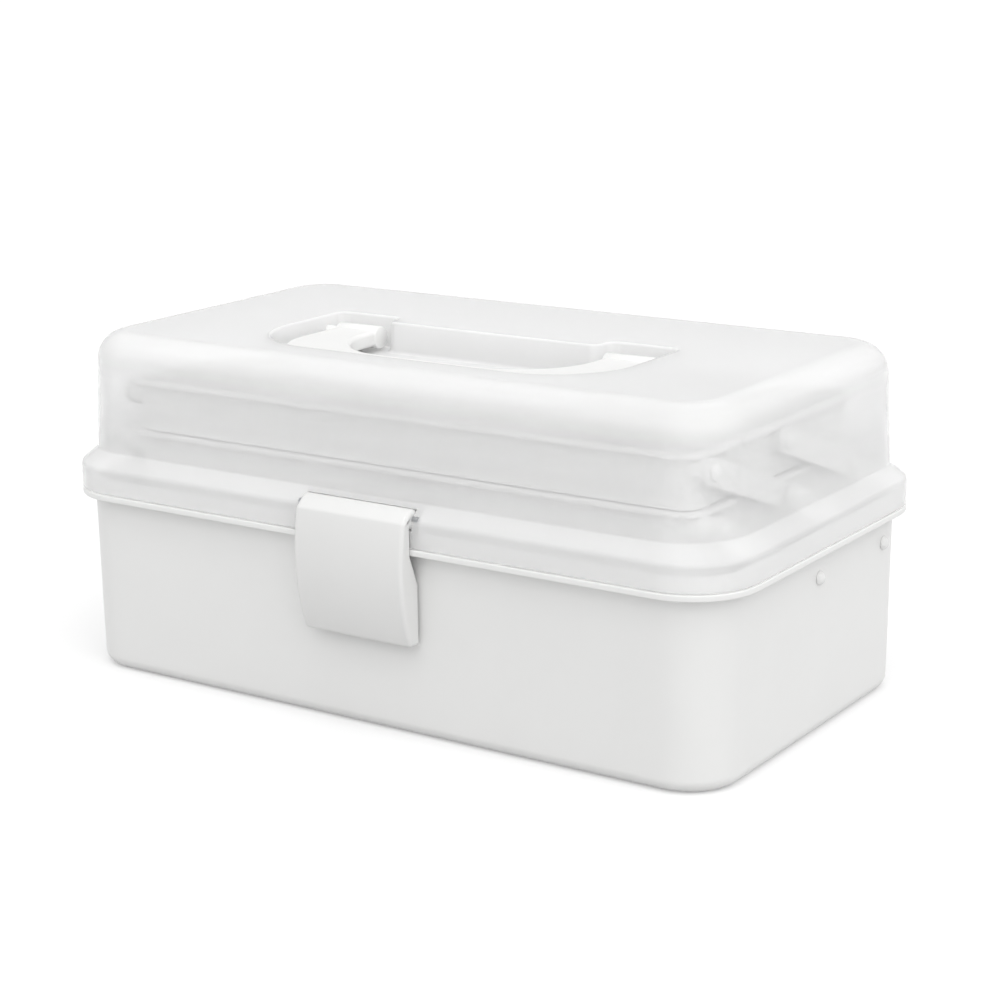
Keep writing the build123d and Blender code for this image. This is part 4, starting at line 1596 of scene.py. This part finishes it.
@dataclass
class Studio:
    """The white studio: a pale floor, soft overhead light and the camera of the photograph.

    The camera's aim and shift are in millimetres, and the floor and the lamps are in metres.
    """

    azimuth: float = 33.869
    elevation: float = 14.553
    roll: float = 0.658
    aim: Point = (0.0, 0.0, 80.0)
    shift: Point = (-2.764, 0.679, 1010.94)
    lens: float = 85.61
    sensor: float = 36.0
    sight: float = 100.0
    floor_size: float = 60.0
    floor_colour: str = "#C2C2C2"
    floor_shown: str = "#D9D9D9"
    floor_glow: float = 0.3
    white: str = "#FFFFFF"
    dome_levels: Flat = (0.7, 0.8)
    dome_heights: Flat = (-0.1, 1.0)
    broad_level: float = 1.54
    broad_angle: float = 80.0
    broad_place: Point = (0.48, -0.38, 0.92)
    shine_watts: float = 0.35
    shine_size: float = 0.5
    shine_place: Point = (-0.76, -0.48, 1.15)
    lamp_aim: Point = (0.0, 0.0, 0.08)

    def build(self) -> None:
        """Sets the stage."""
        bpy.context.scene.view_settings.view_transform = "Standard"
        self.add_floor()
        self.add_sky()
        self.add_lamps()
        self.add_camera()

    def add_floor(self) -> None:
        """Lays a white floor that shows itself bright and keeps the box's shadow."""
        half = self.floor_size / 2
        mesh = bpy.data.meshes.new("floor")
        mesh.from_pydata([(-half, -half, 0), (half, -half, 0), (half, half, 0), (-half, half, 0)], [],
                         [(0, 1, 2, 3)])
        material, tree = blank_material("white_paper_sweep")
        paper = add_node(tree, "ShaderNodeBsdfDiffuse", {"Color": linear(self.floor_colour)})
        shaded = add_node(tree, "ShaderNodeBsdfDiffuse", {"Color": linear(self.floor_shown)})
        bright = add_node(tree, "ShaderNodeEmission",
                          {"Color": linear(self.white), "Strength": self.floor_glow})
        white = add_node(tree, "ShaderNodeAddShader",
                         links={0: shaded.outputs["BSDF"], 1: bright.outputs["Emission"]})
        ray = add_node(tree, "ShaderNodeLightPath").outputs
        seen = add_node(tree, "ShaderNodeMath", links={0: ray["Is Camera Ray"], 1: ray["Is Glossy Ray"]},
                        operation="MAXIMUM")
        shown = add_node(tree, "ShaderNodeMath", links={0: seen.outputs[0], 1: ray["Is Transmission Ray"]},
                         operation="MAXIMUM")
        sheet = add_node(tree, "ShaderNodeMixShader",
                         links={0: shown.outputs[0], 1: paper.outputs["BSDF"], 2: white.outputs["Shader"]})
        add_node(tree, "ShaderNodeOutputMaterial", links={"Surface": sheet.outputs["Shader"]})
        mesh.materials.append(material)
        floor = bpy.data.objects.new("floor", mesh)
        bpy.context.scene.collection.objects.link(floor)

    def add_sky(self) -> None:
        """Lights the box from a soft dome that is brighter overhead; the camera sees plain white."""
        world = bpy.data.worlds.new("soft_dome")
        bpy.context.scene.world = world
        world.use_nodes = True
        tree = world.node_tree
        tree.nodes.clear()
        way = add_node(tree, "ShaderNodeTexCoord").outputs["Generated"]
        height = add_node(tree, "ShaderNodeSeparateXYZ", links={0: way}).outputs["Z"]
        rise = add_node(tree, "ShaderNodeMapRange",
                        {"From Min": self.dome_heights[0], "From Max": self.dome_heights[1],
                         "To Min": self.dome_levels[0], "To Max": self.dome_levels[1]}, {"Value": height})
        dome = add_node(tree, "ShaderNodeBackground", {"Color": linear(self.white)},
                        {"Strength": rise.outputs["Result"]})
        plain = add_node(tree, "ShaderNodeBackground", {"Color": linear(self.white), "Strength": 1.0})
        ray = add_node(tree, "ShaderNodeLightPath").outputs
        seen = add_node(tree, "ShaderNodeMath",
                        links={0: ray["Is Camera Ray"], 1: ray["Is Transmission Ray"]}, operation="MAXIMUM")
        sky = add_node(tree, "ShaderNodeMixShader",
                       links={0: seen.outputs[0], 1: dome.outputs["Background"],
                              2: plain.outputs["Background"]})
        add_node(tree, "ShaderNodeOutputWorld", links={"Surface": sky.outputs["Shader"]})

    def add_lamps(self) -> None:
        """Hangs one very broad light to the front right, and one small soft box at the left for the shine."""
        broad = bpy.data.lights.new("broad_overhead", "SUN")
        broad.energy = self.broad_level
        broad.angle = radians(self.broad_angle)
        shine = bpy.data.lights.new("shine_box", "AREA")
        shine.shape = "SQUARE"
        shine.size = self.shine_size
        shine.energy = self.shine_watts
        for lamp, at in ((broad, self.broad_place), (shine, self.shine_place)):
            hung = bpy.data.objects.new(lamp.name, lamp)
            hung.location = at
            hung.rotation_euler = (Vector(self.lamp_aim) - Vector(at)).to_track_quat("-Z", "Y").to_euler()
            hung.visible_glossy = lamp is shine
            bpy.context.scene.collection.objects.link(hung)

    def add_camera(self) -> None:
        """Sets the camera at the photograph's viewpoint."""
        turn, tilt, roll = radians(self.azimuth), radians(self.elevation), radians(self.roll)
        back = Vector((sin(turn) * cos(tilt), -cos(turn) * cos(tilt), sin(tilt)))
        level = (-back).cross(Vector(UP)).normalized()
        plumb = (-back).cross(level)
        right = cos(roll) * level + sin(roll) * plumb
        down = -sin(roll) * level + cos(roll) * plumb
        eye = Vector(self.aim) - self.shift[0] * right - self.shift[1] * down + self.shift[2] * back
        lens = bpy.data.cameras.new("camera")
        lens.lens = self.lens
        lens.sensor_width = self.sensor
        lens.clip_end = self.sight
        camera = bpy.data.objects.new("camera", lens)
        facing = Matrix((right, -down, back)).transposed().to_4x4()
        camera.matrix_world = Matrix.Translation(eye * MM) @ facing
        bpy.context.scene.collection.objects.link(camera)
        bpy.context.scene.camera = camera


def dress_steel(material: bpy.types.Material) -> list[bpy.types.Object]:
    """Gives the CAD's steel pins, whose shape is right, their finish.

    Args:
        material: The steel.

    Returns:
        The pins.
    """
    pins = [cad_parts[name] for name in ("latch_pin", "hinge_pin_left", "hinge_pin_right")]
    for pin in pins:
        pin.data.materials.clear()
        pin.data.materials.append(material)
    return pins


def main() -> None:
    """Builds the box piece by piece, then the studio, and reports each piece."""
    logging.basicConfig(level=logging.INFO, format="%(message)s")
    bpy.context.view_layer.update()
    white = MouldedWhite("polypropylene_moulded_white", colour="#F1F1F0", shade="#ECECEB", roughness=0.36,
                         roughness_spread=0.05, grain_depth_mm=0.004).material()
    # The trays and the swing arms get a darker white than the tub: painted shade that darkens their walls
    # under the lid.
    shaded_tray_white = MouldedWhite("polypropylene_tray_painted_shade", colour="#E8E8E7", shade="#E3E3E2", roughness=0.34,
                              roughness_spread=0.05, grain_depth_mm=0.003).material()
    # The latch gets a darker white than the tub: painted shade for its bowed front, which faces down. Its
    # satin gloss is its own.
    shaded_satin = MouldedWhite("polypropylene_satin_painted_shade", colour="#EAEAE9", shade="#E6E6E5", roughness=0.42,
                         roughness_spread=0.05, grain_depth_mm=0.006).material()
    glossy = MouldedWhite("acetal_moulded_glossy", colour="#F0F0EF", shade="#ECECEB", roughness=0.24,
                          roughness_spread=0.04, grain_depth_mm=0.002).material()
    clear = ClearMoulding("copolymer_moulded_clear", colour="#F5F5F5", wall_clearness=0.7,
                          skirt_clearness=0.5, roof_clearness=0.5, roughness=0.04, roughness_spread=0.01,
                          bending=1.12, bloom=0.05, shadow_pass="#F6F6F6").material()
    milky = ClearMoulding("copolymer_moulded_milky", colour="#F5F5F5", wall_clearness=0.34,
                          skirt_clearness=0.34, roof_clearness=0.34, roughness=0.05, roughness_spread=0.01,
                          bending=1.12, bloom=0.05, shadow_pass="#F6F6F6").material()
    steel = DrawnSteel("steel_drawn_wire", colour="#C9CACC", shade="#AEB0B3", roughness=0.3,
                       roughness_spread=0.06).material()
    rim, hinge, linkage = Rim(), Hinge(), Linkage()
    latch_pivot, handle_pivot = Pivot((-90.95, 93.3), 1.25), Pivot((5.0, 142.05), 3.0)
    parts = [Tub(rim, hinge, linkage, white),
             ClearLid(rim, hinge, latch_pivot, handle_pivot, clear, milky),
             CarryHandle(handle_pivot, glossy),
             FrontLatch(rim, latch_pivot, shaded_satin),
             Tray(Tier.LOWER, linkage, shaded_tray_white, top=105.7, height=30.0),
             Tray(Tier.UPPER, linkage, shaded_tray_white, top=128.2, height=22.2),
             SwingArms(linkage, shaded_tray_white),
             PivotPins(linkage, glossy)]
    for part in parts:
        for piece in part.build():
            log.info("%s: %d faces built", piece.name, len(piece.data.polygons))
    for pin in dress_steel(steel):
        log.info("%s: steel finish", pin.name)
    Studio().build()


if __name__ == "__main__":
    main()
